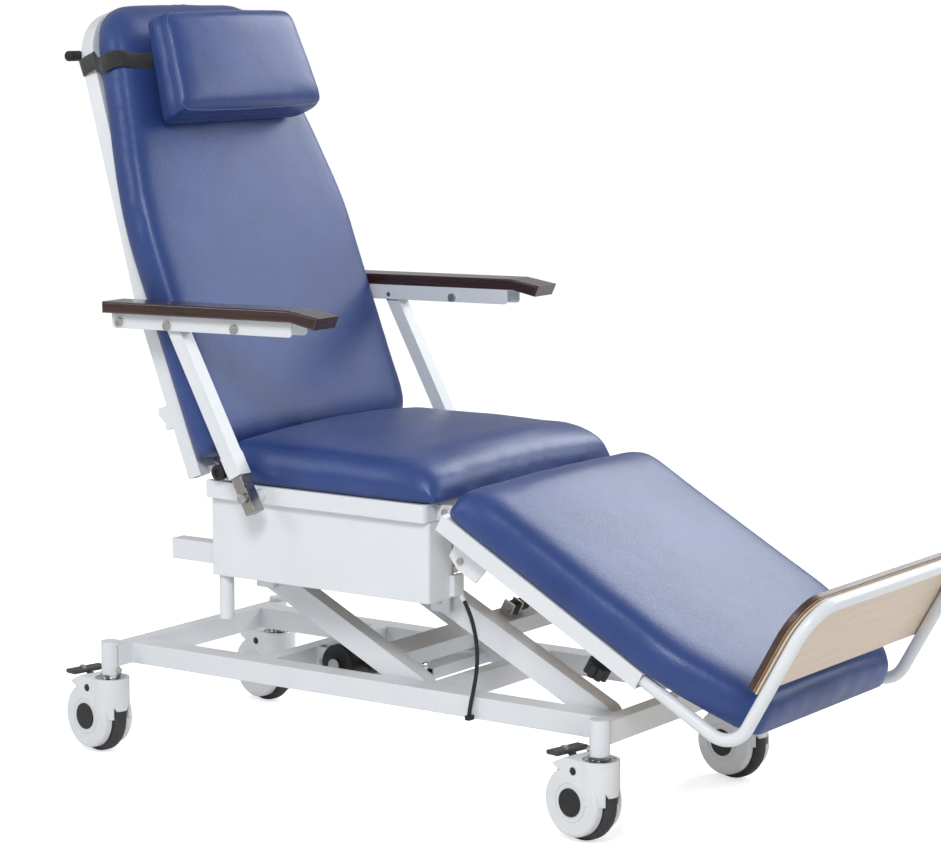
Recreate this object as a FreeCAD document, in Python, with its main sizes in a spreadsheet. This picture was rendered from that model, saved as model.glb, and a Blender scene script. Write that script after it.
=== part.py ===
import FreeCAD, Part
import math
import os
import re

import Sketcher
from FreeCAD import Placement, Rotation, Vector

# A phlebotomy chair on four braked casters, seen with its front towards -Y.
# The origin lies on the floor, in the middle of the four caster posts.

os.makedirs("parts", exist_ok=True)
doc = FreeCAD.newDocument("phlebotomy_chair")

# Driving dimensions, in millimetres and degrees
SIZES = {
    # shared by many pieces
    "tube_wall": 2,
    "overrun": 6,
    "soft_gap": 0.3,
    "running_gap": 0.05,
    "side_gap": 1,
    "moving_gap": 3,
    # base frame
    "rail_top": 186,
    "rail_height": 35,
    "rail_inner": 153,
    "rail_width": 40,
    "side_rail_end": 466,
    "cross_rail_depth": 28,
    "motor_rail_front": 190,
    "motor_rail_depth": 28,
    "low_rail_front": -24,
    "low_rail_depth": 57,
    "low_rail_height": 19,
    "tie_rail_front": -147,
    "tie_rail_depth": 28,
    # caster posts
    "post_across": 226,
    "post_along": 485,
    "post_radius": 15.5,
    "post_low": 136,
    "post_high": 192,
    "post_rim": 2,
    "screw_radius": 4,
    "screw_head_radius": 6.5,
    "screw_head": 5,
    "post_screw_height": 143.5,
    "post_screw_head": 5,
    # casters
    "wheel_radius": 62.5,
    "wheel_width": 26,
    "wheel_gap": 0.8,
    "tyre_depth": 17,
    "tyre_round": 9,
    "caster_trail": 33,
    "caster_turn_angle": -11,
    "shell_radius": 54,
    "shell_width": 60,
    "shell_slot": 30,
    "shell_round": 6,
    "shell_top": 130.5,
    "shell_front_low": 76,
    "hood_radius": 31,
    "cup_radius": 25,
    "cup_floor": 127,
    "cup_gap": 1,
    "beak_reach": 45,
    "beak_end": 70,
    "beak_drop": 14,
    "beak_depth": 12,
    "axle_radius": 5,
    "axle_cap_radius": 22,
    "axle_cap": 2.5,
    "pedal_width": 66,
    "pedal_length": 26,
    "pedal_thick": 7,
    "pedal_start": 54,
    "pedal_low": 130,
    "pedal_round": 3,
    "pedal_hinge_along": 54,
    "pedal_hinge_height": 125,
    "pedal_stem": 5,
    "pedal_pin": 2.5,
    # lift parallelogram
    "rear_pivot_along": -88,
    "front_pivot_along": -438,
    "low_pivot_height": 174,
    "lift_angle": 26.6,
    "arm_length": 330,
    "arm_outer": 148,
    "arm_width": 30,
    "arm_depth": 40,
    "pin_radius": 6,
    "rear_cross_at": 77,
    "front_cross_at": 245,
    "cross_tube": 34,
    # lift motor
    "motor_across": -30,
    "anchor_along": 178,
    "anchor_height": 162,
    "ram_end_along": -8,
    "ram_end_height": 174,
    "ram_pin_radius": 5,
    "ram_open_gap": 5.6,
    "ram_eye_wall": 2.5,
    "ram_ear": 4,
    "ram_notch_floor": 7,
    "ram_eye_width": 18,
    "motor_radius": 33,
    "motor_length": 86,
    "motor_overhang": 20,
    "motor_at": 70,
    "motor_lift": 9,
    "motor_cap_radius": 11,
    "motor_cap": 8,
    "ram_tube_radius": 17,
    "ram_tube_start": 22,
    "ram_tube_end": 132,
    "ram_rod_radius": 8,
    "ram_rod_start": 40,
    # front clevis
    "clevis_across": -88,
    "clevis_ear": 4,
    "clevis_inside": 20,
    "clevis_height": 24,
    "clevis_bush_radius": 10,
    "clevis_bush_length": 36,
    "clevis_pin_radius": 5,
    # seat chassis
    "chassis_inner": 152,
    "chassis_width": 30,
    "hanger_rise": 15.24,
    "chassis_height": 34,
    "chassis_rear": 384,
    "chassis_front": -166,
    "hanger_thick": 6,
    "hanger_half": 18,
    "cross_beam_depth": 28,
    "front_beam_along": -166,
    "rear_beam_along": 187,
    "corner_tube_radius": 12,
    "corner_tube_across": 232,
    "corner_tube_drop": 74,
    # seat skirt and rim
    "skirt_across": 250,
    "skirt_front": -187,
    "skirt_rear": 241,
    "skirt_below": 1,
    "skirt_tall": 127,
    "skirt_round": 6,
    "skirt_front_return": 62,
    "skirt_return": 22,
    "sheet": 2,
    "rim_across": 262,
    "rim_front": -187,
    "rim_rear": 243,
    "rim_tall": 28,
    "rim_wall": 14,
    "rim_return": 56,
    "rim_round": 10,
    # boards
    "board_thick": 9,
    "seat_board_across": 246,
    "seat_board_rear": 192,
    # seat cushion
    "seat_half": 261,
    "seat_cushion_front": -204,
    "seat_cushion_rear": 213,
    "seat_thick": 74,
    "seat_crown": 10,
    "seat_front_drop": 10,
    "seat_front_reach": 62,
    "seat_front_draw": 12,
    "seat_front_thin_share": 0.5,
    "seat_rear_reach": 34,
    "seat_rear_draw": 7,
    "seat_rear_thin_share": 0.3,
    "cushion_swell": 6,
    "cushion_foot": 9,
    "cushion_edge": 24,
    "edge_share": 0.45,
    "foot_share": 0.2,
    "ease_steps": 4,
    "middle_steps": 8,
    # rear seat tube caps
    "end_cap_radius": 13,
    "end_cap_length": 9,
    "end_cap_along": 210,
    "end_cap_rise": 16,
    "end_cap_outer": 274,
    "cap_relief": 3,
    # control box
    "box_across": -182,
    "box_width": 28,
    "box_depth": 10,
    "box_rise": 4,
    "box_height": 33,
    "box_bolt_rise": 46,
    "gland_radius": 4.5,
    "gland_length": 10,
    "gland_aside": 9,
    "gland_slant_angle": 35,
    # cord
    "cord_radius": 3.25,
    "boot_length": 7,
    "boot_depth": 4.5,
    # backrest
    "recline_angle": 21.1,
    "back_foot_along": 270,
    "back_foot_rise": 16,
    "back_pivot_along": 230,
    "back_pivot_drop": 13,
    "hinge_pin_radius": 7,
    "hinge_lug": 6,
    "hinge_lug_across": 190,
    "hinge_lug_half": 20,
    "hinge_eye": 11,
    "frame_half": 243,
    "frame_wide": 24,
    "frame_deep": 27,
    "frame_taper_start": 300,
    "frame_shoulder": 745,
    "frame_shoulder_half": 193,
    "frame_top": 798,
    "frame_round": 100,
    "frame_knee": 120,
    "frame_bar_low": 12,
    "frame_bar": 22,
    "frame_bar_high": 560,
    "back_cushion_half": 268,
    "back_cushion_low": 22,
    "back_cushion_top": 797,
    "back_cushion_thick": 70,
    "back_crown": 7,
    "back_edge": 16,
    "back_edge_share": 0.4,
    "back_underside": 34,
    "back_underside_share": 0.5,
    "back_swell": 2,
    "back_foot_half": 264,
    "back_wide_from": 280,
    "back_wide_to": 430,
    "back_narrow_from": 530,
    "back_narrow_half": 246,
    "back_top_half": 182,
    "back_low_reach": 34,
    "back_low_draw": 8,
    "back_low_thin_share": 0.35,
    "back_top_reach": 62,
    "back_top_draw": 60,
    "back_top_thin_share": 0.5,
    "grip_at": 729,
    "grip_radius": 8.5,
    "grip_reach": 215,
    "grip_length": 29,
    "grip_bar_radius": 6.5,
    "hook_at": 88,
    "hook_reach": 22,
    "hook_height": 38,
    "hook_width": 16,
    # head cushion
    "head_low": 564,
    "head_high": 740,
    "head_half_low": 182,
    "head_half_high": 170,
    "head_thick_low": 62,
    "head_thick_high": 82,
    "head_crown": 9,
    "head_edge": 14,
    "head_edge_share": 0.3,
    "head_underside": 24,
    "head_underside_share": 0.4,
    "head_swell": 4,
    "head_standoff": 2,
    "head_travel_up": 22,
    "head_travel_down": 42,
    "head_reach": 20,
    "head_draw": 7,
    "head_thin_share": 0.25,
    "strap_at": 700,
    "strap_width": 28,
    "strap_thick": 1.6,
    "strap_clear": 0.3,
    "strap_slack": 5,
    # armrests
    "knuckle_along": 130,
    "knuckle_drop": 13,
    "strut_rise": 265,
    "strut_run": 144,
    "strut_clear": 4,
    "strut_wide": 28,
    "strut_deep": 25,
    "knuckle_below": 27,
    "knuckle_above": 36,
    "knuckle_slim": 2.5,
    "sleeve_above": 74,
    "sleeve_slim": 0.8,
    "rear_bolt_behind": 100,
    "channel_clear": 33,
    "channel_wide": 40,
    "channel_wall": 3,
    "channel_above": 17,
    "channel_below": 8,
    "channel_front": 249,
    "channel_rear": 16,
    "channel_round": 6,
    "pad_overlap": 1,
    "pad_wide": 58,
    "pad_thick": 18.5,
    "pad_tilt_angle": 1.2,
    "pad_rear": 23,
    "pad_bend": 256,
    "pad_nose": 314,
    "pad_nose_drop": 10,
    "pad_round": 3,
    "arm_bolt_radius": 4,
    "arm_bolt_head": 7,
    "arm_bolt_head_thick": 5,
    "arm_stub_radius": 6,
    "front_bolt_ahead": 137,
    # leg rest
    "leg_pivot_along": -205,
    "leg_pivot_drop": 14,
    "leg_slope_angle": 29.3,
    "leg_outer": 260,
    "leg_rail_wide": 28,
    "leg_rail_high": 10,
    "leg_rail_low": -18,
    "leg_rail_start": 12,
    "leg_rail_end": 424,
    "leg_bar_at": 250,
    "leg_bar": 25,
    "leg_plate": 4,
    "leg_lug": 6,
    "leg_plate_low": -63,
    "leg_plate_reach": 110,
    "leg_bolt_at": 61,
    "leg_bolt_drop": 48,
    "leg_bolt_radius": 5,
    "leg_cushion_start": 16,
    "leg_cushion_end": 604,
    "leg_cushion_half": 262,
    "leg_cushion_thick": 71,
    "leg_cushion_taper": 455,
    "leg_foot_half": 208,
    "leg_crown": 8,
    "leg_start_reach": 42,
    "leg_start_draw": 9,
    "leg_start_thin_share": 0.4,
    "leg_end_reach": 52,
    "leg_end_draw": 16,
    "leg_end_thin_share": 0.45,
    "leg_board_end": 582,
    # footrest
    "foot_tube_radius": 10,
    "foot_tube_wall": 1.5,
    "foot_tube_across": 246,
    "foot_tube_inside": 190,
    "foot_riser": 602,
    "foot_bend": 45,
    "foot_top": 262,
    "foot_top_bend": 62,
    "foot_board_low": 97,
    "foot_board_thick": 17,
    "foot_board_below": 8,
    "foot_board_round": 66,
    # star knobs
    "knob_at": 352,
    "knob_radius": 20,
    "knob_depth": 20,
    "knob_lobe_radius": 6,
    "knob_lobes": 8,
    "knob_stem_radius": 4,
    "knob_neck": 9,
}

# Heights and reaches that follow from the sizes above
FOLLOWING = {
    "chassis_low": "low_pivot_height + arm_length * sin(lift_angle * 1 deg) + hanger_rise",
    "corner_tube_low": "chassis_low - corner_tube_drop",
    "skirt_low": "chassis_low - skirt_below",
    "skirt_high": "skirt_low + skirt_tall",
    "box_low": "skirt_low + box_rise",
    "box_bolt_height": "skirt_low + box_bolt_rise",
    "rim_low": "skirt_high + side_gap",
    "rim_high": "rim_low + rim_tall",
    "seat_cushion_high": "rim_high + seat_thick",
    "end_cap_height": "rim_high + end_cap_rise",
    "knuckle_height": "rim_high - knuckle_drop",
    "leg_pivot_height": "rim_high - leg_pivot_drop",
    "back_pivot_height": "rim_high - back_pivot_drop",
    "back_foot_height": "back_pivot_height + back_foot_rise",
    "channel_inner": "frame_half + channel_clear",
    "pad_inner": "channel_inner - pad_overlap",
    "strut_inner": "channel_inner + strut_clear",
}
ALIASES = [*SIZES, *FOLLOWING]

sheet = doc.addObject("Spreadsheet::Sheet", "sizes")
for row, alias in enumerate(ALIASES, start=1):
    sheet.set(f"A{row}", alias.replace("_", " "))
    sheet.set(f"B{row}", str(SIZES[alias]) if alias in SIZES else f"={FOLLOWING[alias]}")
    sheet.setAlias(f"B{row}", alias)
doc.recompute()

WORD = re.compile(r"[a-z][a-z_]*")
TURN = {
    "x": Rotation(Vector(0, 1, 0), 90),
    "y": Rotation(Vector(1, 0, 0), -90),
    "z": Rotation(),
}
PLANES = {"yz": "YZ_Plane", "xz": "XZ_Plane", "xy": "XY_Plane"}
NODES = []


def size(alias):
    """The value that the sheet holds for an alias."""
    return float(sheet.get(alias))


def bind(thing, path, formula):
    """Tie one property of an object to a formula of aliases."""
    tied = WORD.sub(lambda word: "sizes." + word.group() if word.group() in ALIASES else word.group(), formula)
    thing.setExpression(path, tied)


# Building blocks


def block(x, y, z):
    """A box between pairs of formulas."""
    box = doc.addObject("Part::Box", "Block")
    for side, axis, (low, high) in (("Length", "x", x), ("Width", "y", y), ("Height", "z", z)):
        bind(box, side, f"({high}) - ({low})")
        bind(box, f".Placement.Base.{axis}", low)
    return box


def rod(along, radius, span, at):
    """A round bar along one axis, between two formulas, centred at the other two."""
    bar = doc.addObject("Part::Cylinder", "Rod")
    bar.Placement = Placement(Vector(), TURN[along])
    bind(bar, "Radius", radius)
    bind(bar, "Height", f"({span[1]}) - ({span[0]})")
    others = [axis for axis in "xyz" if axis != along]
    for axis, formula in ((along, span[0]), (others[0], at[0]), (others[1], at[1])):
        bind(bar, f".Placement.Base.{axis}", formula)
    return bar


def cut(base, *tools):
    """One piece less the others."""
    for tool in tools:
        lessened = doc.addObject("Part::Cut", "Cut")
        lessened.Base = base
        lessened.Tool = tool
        base = lessened
    return base


def join(*pieces):
    """Pieces welded or moulded into one."""
    whole = doc.addObject("Part::MultiFuse", "Join")
    whole.Shapes = list(pieces)
    whole.Refine = True
    return whole


def group(*pieces):
    """Separate solids that share a node."""
    bunch = doc.addObject("Part::Compound", "Group")
    bunch.Links = list(pieces)
    return bunch


def mirrored(piece, normal=Vector(1, 0, 0)):
    """The same piece on the other side of a plane through the origin."""
    twin = doc.addObject("Part::Mirroring", "Twin")
    twin.Source = piece
    twin.Normal = normal
    return twin


def both_sides(piece):
    """A piece and its mirror image left of the chair."""
    return group(piece, mirrored(piece))


def inset(pair, wall="tube_wall"):
    """A pair of formulas drawn in by a wall at each end."""
    return f"{pair[0]} + {wall}", f"{pair[1]} - {wall}"


def outset(pair, more="overrun"):
    """A pair of formulas pushed out at each end."""
    return f"{pair[0]} - {more}", f"{pair[1]} + {more}"


def tube(x, y, z, along):
    """A rectangular tube, open at both ends."""
    spans = {"x": x, "y": y, "z": z}
    hollow = [outset(span) if axis == along else inset(span) for axis, span in spans.items()]
    return cut(block(x, y, z), block(*hollow))


def plate(plane, outline, middle, thick):
    """A flat piece with an outline of formula pairs, padded both ways from its middle plane."""
    body = doc.addObject("PartDesign::Body", "Plate")
    sketch = body.newObject("Sketcher::SketchObject", "Outline")
    origin_plane = [item for item in body.Origin.OriginFeatures if item.Role == PLANES[plane]][0]
    sketch.AttachmentSupport = (origin_plane, [""])
    sketch.MapMode = "FlatFace"
    count = len(outline)
    for index in range(count):
        start = Vector(math.cos(index * math.tau / count), math.sin(index * math.tau / count), 0)
        end = Vector(math.cos((index + 1) * math.tau / count), math.sin((index + 1) * math.tau / count), 0)
        sketch.addGeometry(Part.LineSegment(start, end), False)
    for index in range(count):
        sketch.addConstraint(Sketcher.Constraint("Coincident", index, 2, (index + 1) % count, 1))
    for index, corner in enumerate(outline):
        for kind, formula in zip(("DistanceX", "DistanceY"), corner):
            number = sketch.addConstraint(Sketcher.Constraint(kind, -1, 1, index, 1, 1))
            bind(sketch, f"Constraints[{number}]", formula)
    pad = body.newObject("PartDesign::Pad", "Pad")
    pad.Profile = sketch
    pad.Midplane = True
    bind(pad, "Length", thick)
    normal = {"yz": "x", "xz": "y", "xy": "z"}[plane]
    bind(body, f".Placement.Base.{normal}", middle)
    doc.recompute()
    return body


def softened(piece, radius, wanted, wall=None):
    """A piece with the edges that pass a test rounded to a named radius, less a wall's if one is named."""
    reach = size(radius) - size(wall) if wall else size(radius)
    if reach <= 0:
        return piece
    doc.recompute()
    edges = [index for index, edge in enumerate(piece.Shape.Edges, start=1) if wanted(edge)]
    rounded = doc.addObject("Part::Fillet", "Softened")
    rounded.Base = piece
    rounded.Edges = [(index, reach, reach) for index in edges]
    doc.recompute()
    return rounded


def runs(edge, axis):
    """Whether an edge is straight and runs along an axis."""
    if not isinstance(edge.Curve, (Part.Line, Part.LineSegment)):
        return False
    step = edge.Vertexes[-1].Point - edge.Vertexes[0].Point
    return step.Length > 0 and abs(step.normalize().dot(axis)) > math.cos(math.radians(1))


def shaped(name, shape):
    """A document object that holds a shape made by formula."""
    thing = doc.addObject("Part::Feature", name)
    thing.Shape = shape
    return thing


def rounded_path(corners, radii):
    """Straight runs between corners, joined by tangent arcs of the given radii."""
    edges = []
    last = corners[0]
    for before, corner, after, radius in zip(corners, corners[1:], corners[2:], radii):
        back = (before - corner).normalize()
        ahead = (after - corner).normalize()
        half = back.getAngle(ahead) / 2
        reach = radius / math.tan(half)
        start, end = corner + back * reach, corner + ahead * reach
        inward = (back + ahead).normalize()
        middle = corner + inward * (radius / math.sin(half) - radius)
        if (start - last).Length > size("running_gap"):
            edges.append(Part.LineSegment(last, start).toShape())
        edges.append(Part.Arc(start, middle, end).toShape())
        last = end
    edges.append(Part.LineSegment(last, corners[-1]).toShape())
    return Part.Wire(edges)


def swept(path, outlines):
    """Sweep the first outline along a path, less the others."""
    solids = [path.makePipeShell([outline], True, False) for outline in outlines]
    whole = solids[0]
    for hollow in solids[1:]:
        whole = whole.cut(hollow)
    return whole


def ring(centre, direction, radius):
    """A circle as a wire."""
    return Part.Wire([Part.Circle(centre, direction, radius).toShape()])


SOFT_EDGES = ("cushion_edge", "edge_share", "cushion_foot", "foot_share", "cushion_swell")
BACK_EDGES = ("back_edge", "back_edge_share", "back_underside", "back_underside_share", "back_swell")
HEAD_EDGES = ("head_edge", "head_edge_share", "head_underside", "head_underside_share", "head_swell")


def cushion_section(along, half, low, high, lift, edges=SOFT_EDGES):
    """One closed outline of a cushion: flat foot, swelling sides, rounded edges, crowned top."""
    edge, edge_share, foot, foot_share, swell = [size(name) for name in edges]
    edge = min(edge, (high - low) * edge_share)
    foot = min(foot, (high - low) * foot_share)
    corner = 1 - math.sqrt(0.5)

    def at(x, z):
        return Vector(x, along, z)

    def side(sign):
        return [
            at(sign * (half - foot), low),
            at(sign * (half - foot * corner), low + foot * corner),
            at(sign * half, low + foot),
            at(sign * (half + swell), (low + foot + high - edge) / 2),
            at(sign * half, high - edge),
            at(sign * (half - edge * corner), high - edge * corner),
            at(sign * (half - edge), high),
        ]

    right, left = side(1), side(-1)
    falling = left[::-1]
    outline = [Part.LineSegment(left[0], right[0]).toShape()]
    outline += [Part.Arc(*right[step:step + 3]).toShape() for step in (0, 2, 4)]
    outline.append(Part.Arc(right[6], at(0, high + lift), left[6]).toShape())
    outline += [Part.Arc(*falling[step:step + 3]).toShape() for step in (0, 2, 4)]
    return Part.Wire(outline)


def between(place, knots):
    """A value read off straight lines through (place, value) knots in rising order."""
    for (low, at_low), (high, at_high) in zip(knots, knots[1:]):
        if place <= high:
            break
    return at_low + (at_high - at_low) * (place - low) / (high - low)


def eased_places(low_end, high_end):
    """Places along a cushion with a share that rises from 0 at the ends to 1 between."""
    steps = int(size("ease_steps"))
    turns = [math.pi / 2 * index / steps for index in range(steps + 1)]
    (low, low_reach), (high, high_reach) = low_end, high_end
    rising = [(low + low_reach * (1 - math.cos(turn)), math.sin(turn)) for turn in turns]
    falling = [(high - high_reach * (1 - math.cos(turn)), math.sin(turn)) for turn in reversed(turns)]
    pieces = int(size("middle_steps"))
    start, end = rising[-1][0], falling[0][0]
    middle = [(start + (end - start) * index / pieces, 1) for index in range(1, pieces)]
    return rising + middle + falling, len(rising) + len(middle) // 2


def cushion(name, low_end, high_end, half, foot, top, crown, edges=SOFT_EDGES):
    """A loft along a cushion; an end is its place, reach, drawing in and thinning share."""
    places, middle = eased_places(low_end[:2], high_end[:2])
    outlines = []
    for number, (place, share) in enumerate(places):
        draw, thin = low_end[2:] if number < middle else high_end[2:]
        low, high = foot, between(place, top)
        high -= thin * (high - low) * (1 - share)
        lift = crown * (1 + share) / 2
        wide = between(place, half) - draw * (1 - share)
        outlines.append(cushion_section(place, wide, low, high, lift, edges))
    return shaped(name, Part.makeLoft(outlines, True, False))


def node(label, piece, at=Placement()):
    """Name a sub-part, put it in its place and keep it for export."""
    if any("Placement" in path for path, _ in piece.ExpressionEngine):
        piece = group(piece)
    piece.Label = label
    piece.Placement = at.multiply(piece.Placement)
    NODES.append(piece)
    return piece


def tilted(along, height, angle, about=Rotation()):
    """A placement in the chair's middle plane, tilted about the cross axis."""
    return Placement(Vector(0, along, height), Rotation(Vector(1, 0, 0), angle).multiply(about))


HALF_TURN = Rotation(Vector(0, 0, 1), 180)
QUARTER_TURN = 90

# Base frame: two side rails, two end rails and three rails between them

RAIL = ("rail_top - rail_height", "rail_top")
LOW_PIVOTS = ("rear_pivot_along", "front_pivot_along")
POST_SPOTS = {
    "rear_right": (-1, 1),
    "rear_left": (1, 1),
    "front_right": (-1, -1),
    "front_left": (1, -1),
}


def end_rail(sign):
    """An end rail, coped round the two posts that it is welded to."""
    near, far = f"{sign} * side_rail_end", f"{sign} * (side_rail_end + cross_rail_depth)"
    along = (near, far) if sign > 0 else (far, near)
    rail = tube(("-post_across", "post_across"), along, RAIL, "x")
    posts = [
        rod("z", "post_radius", outset(RAIL), (f"{side} * post_across", f"{sign} * post_along"))
        for side in (-1, 1)
    ]
    return cut(rail, *posts)


side_rail = tube(
    ("rail_inner", "rail_inner + rail_width"), ("-side_rail_end", "side_rail_end"), RAIL, "y"
)
pin_holes = [
    rod("x", "pin_radius", ("rail_inner - overrun", "rail_inner + tube_wall + overrun"),
        (along, "low_pivot_height"))
    for along in LOW_PIVOTS
]
side_rail = cut(side_rail, *pin_holes)
node("base_frame", group(side_rail, mirrored(side_rail), end_rail(1), end_rail(-1)))

rail_span = ("-rail_inner", "rail_inner")
motor_rail = tube(
    rail_span, ("motor_rail_front", "motor_rail_front + motor_rail_depth"), RAIL, "x"
)
low_rail = tube(
    rail_span,
    ("low_rail_front", "low_rail_front + low_rail_depth"),
    ("rail_top - rail_height", "rail_top - rail_height + low_rail_height"),
    "x",
)
notch = block(
    ("motor_across - ram_eye_width - moving_gap", "motor_across + ram_eye_width + moving_gap"),
    ("low_rail_front - overrun", "low_rail_front + low_rail_depth + overrun"),
    ("rail_top - rail_height + ram_notch_floor", "rail_top"),
)
low_rail = cut(low_rail, notch)
tie_rail = tube(rail_span, ("tie_rail_front", "tie_rail_front + tie_rail_depth"), RAIL, "x")


def anchor_ear(sign):
    """One ear of the bracket that holds the lift motor."""
    near = f"motor_across + {sign} * (ram_eye_width / 2 + side_gap)"
    far = f"motor_across + {sign} * (ram_eye_width / 2 + side_gap + ram_ear)"
    across = (near, far) if sign > 0 else (far, near)
    ear = block(
        across,
        ("anchor_along - ram_eye_width / 2", "motor_rail_front"),
        ("anchor_height - ram_eye_width / 2", "rail_top"),
    )
    hole = rod("x", "ram_pin_radius", outset(across), ("anchor_along", "anchor_height"))
    return cut(ear, hole)


node("base_mid_rails", group(motor_rail, low_rail, tie_rail, anchor_ear(-1), anchor_ear(1)))

# Caster posts with their bearing cups and side screws


def post(across, along):
    """A post, open at the foot, with a shallow cap and a drilled outer wall."""
    spot = (across, along)
    outside = rod("z", "post_radius", ("post_low", "post_high"), spot)
    inside = rod("z", "post_radius - tube_wall", ("post_low - overrun", "post_high - post_rim"), spot)
    return cut(outside, inside)


def bearing_cup(across, along):
    """The swivel's pressed cup, between the post and the caster hood."""
    dish = rod("z", "cup_radius", ("cup_floor + soft_gap", "shell_top"), (across, along))
    neck = rod("z", "post_radius + tube_wall", ("shell_top", "post_low"), (across, along))
    return softened(
        join(dish, neck), "post_rim",
        lambda edge: abs(edge.BoundBox.ZMin - size("shell_top")) < size("running_gap")
        and edge.BoundBox.ZLength < size("running_gap"),
    )


def post_screw():
    """A screw through the inner wall of the rear post on the left."""
    wall = "post_along - post_radius"
    spot = ("post_across", "post_screw_height")
    shank = rod("y", "screw_radius", (wall, f"{wall} + tube_wall"), spot)
    head = rod("y", "post_screw_head", (f"{wall} - screw_head", wall), spot)
    return join(shank, head)


spots = [(f"{side} * post_across", f"{end} * post_along") for side, end in POST_SPOTS.values()]
rear_drill = rod(
    "y", "screw_radius", ("post_along - post_radius - overrun", "post_along"), ("post_across", "post_screw_height")
)
rear_drills = both_sides(rear_drill)
drills = [rear_drills, mirrored(rear_drills, Vector(0, 1, 0))]
node("caster_posts", cut(group(*[post(*spot) for spot in spots]), *drills))
node("bearing_cups", group(*[bearing_cup(*spot) for spot in spots]))

# Casters: a hooded shell, a wheel, an axle with its caps and a brake pedal

SHELL = ("-shell_width / 2", "shell_width / 2")
AXLE_LINE = ("caster_trail", "wheel_radius")


def caster_shell():
    """Twin shells under a hood, one moulding, hollow where the wheel turns."""
    discs = rod("x", "shell_radius", SHELL, AXLE_LINE)
    discs = softened(discs, "shell_round", lambda edge: isinstance(edge.Curve, Part.Circle))
    hood = rod("z", "hood_radius", ("wheel_radius", "shell_top"), ("0", "0"))
    back = block(SHELL, ("0", "beak_reach"), ("shell_front_low", "shell_top"))
    beak = plate(
        "yz",
        [
            ("beak_reach", "shell_top"),
            ("beak_reach", "shell_top - beak_drop - beak_depth"),
            ("beak_end", "shell_top - beak_drop"),
            ("beak_end", "shell_top - beak_drop + tube_wall"),
        ],
        "0",
        "shell_width",
    )
    whole = join(discs, hood, back, beak)
    slot = ("-shell_slot / 2", "shell_slot / 2")
    wheel_room = rod("x", "wheel_radius + wheel_gap", slot, AXLE_LINE)
    under_hood = block(slot, ("-hood_radius - overrun", "caster_trail"), ("0", "shell_front_low"))
    cup_room = rod("z", "cup_radius + cup_gap", ("cup_floor", "shell_top + overrun"), ("0", "0"))
    axle_hole = rod("x", "axle_radius", outset(SHELL), AXLE_LINE)
    stem_slot = block(
        ("-pedal_stem / 2 - side_gap", "pedal_stem / 2 + side_gap"),
        ("pedal_hinge_along - pedal_stem - side_gap", "beak_end + overrun"),
        ("pedal_hinge_height - pedal_stem - side_gap", "shell_top + overrun"),
    )
    return cut(whole, wheel_room, under_hood, cup_room, axle_hole, stem_slot)


def caster_wheel():
    """A grey core inside a rounded rubber tyre."""
    width = ("-wheel_width / 2", "wheel_width / 2")
    tread = rod("x", "wheel_radius", width, AXLE_LINE)
    tread = softened(tread, "tyre_round", lambda edge: isinstance(edge.Curve, Part.Circle))
    tyre = cut(tread, rod("x", "wheel_radius - tyre_depth", outset(width), AXLE_LINE))
    core = rod("x", "wheel_radius - tyre_depth", width, AXLE_LINE)
    core = cut(core, rod("x", "axle_radius + running_gap", outset(width), AXLE_LINE))
    return group(tyre, core)


def caster_axle():
    """The axle and the cap on each of its ends."""
    axle = rod("x", "axle_radius", SHELL, AXLE_LINE)
    cap = rod("x", "axle_cap_radius", ("shell_width / 2", "shell_width / 2 + axle_cap"), AXLE_LINE)
    cap = softened(
        cap, "side_gap",
        lambda edge: isinstance(edge.Curve, Part.Circle) and edge.BoundBox.XMin > size("shell_width") / 2,
    )
    return group(axle, cap, mirrored(cap))


def brake_pedal():
    """A wide ribbed toe plate on a steel stem that swings in the shell's slot."""
    end = "pedal_start + pedal_length"
    toe = block(
        ("-pedal_width / 2", "pedal_width / 2"), ("pedal_start", end), ("pedal_low", "pedal_low + pedal_thick")
    )
    toe = softened(toe, "pedal_round", lambda edge: runs(edge, Vector(1, 0, 0)))
    middle = "pedal_start + pedal_length / 2"
    stem = plate(
        "yz",
        [
            ("pedal_hinge_along - pedal_stem * 0.8", "pedal_hinge_height + pedal_stem"),
            ("pedal_hinge_along - pedal_stem * 0.4", "pedal_hinge_height - pedal_stem * 0.1"),
            ("pedal_hinge_along + pedal_stem * 0.8", "pedal_hinge_height - pedal_stem * 0.7"),
            (middle, "pedal_low"),
            (middle, "pedal_low + pedal_thick / 2"),
            ("pedal_start", "pedal_low + pedal_thick / 2"),
        ],
        "0",
        "pedal_stem",
    )
    half = "pedal_stem / 2 + side_gap / 2"
    pin = rod("x", "pedal_pin", (f"-({half})", half), ("pedal_hinge_along", "pedal_hinge_height"))
    return join(toe, stem, pin)


for corner, (side, end) in POST_SPOTS.items():
    stand = Placement(
        Vector(side * size("post_across"), end * size("post_along"), 0),
        Rotation(Vector(0, 0, 1), size("caster_turn_angle")),
    )
    node(f"caster_shell_{corner}", caster_shell(), stand)
    node(f"caster_wheel_{corner}", caster_wheel(), stand)
    node(f"caster_axle_{corner}", caster_axle(), stand)
    node(f"brake_pedal_{corner}", brake_pedal(), stand)

# Lift arms, drawn along Y from their lower pivot and then tilted to the lift angle

ARM_ACROSS = ("arm_outer - arm_width", "arm_outer")


def lift_arm():
    """A tube with round solid ends, bored for the two pivot pins."""
    deep = ("-arm_depth / 2", "arm_depth / 2")
    long = ("0", "arm_length")
    ends = [rod("x", "arm_depth / 2", ARM_ACROSS, (spot, "0")) for spot in long]
    bores = [rod("x", "pin_radius + running_gap", outset(ARM_ACROSS), (spot, "0")) for spot in long]
    whole = join(block(ARM_ACROSS, long, deep), *ends)
    return cut(whole, block(inset(ARM_ACROSS), long, inset(deep)), *bores)


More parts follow.
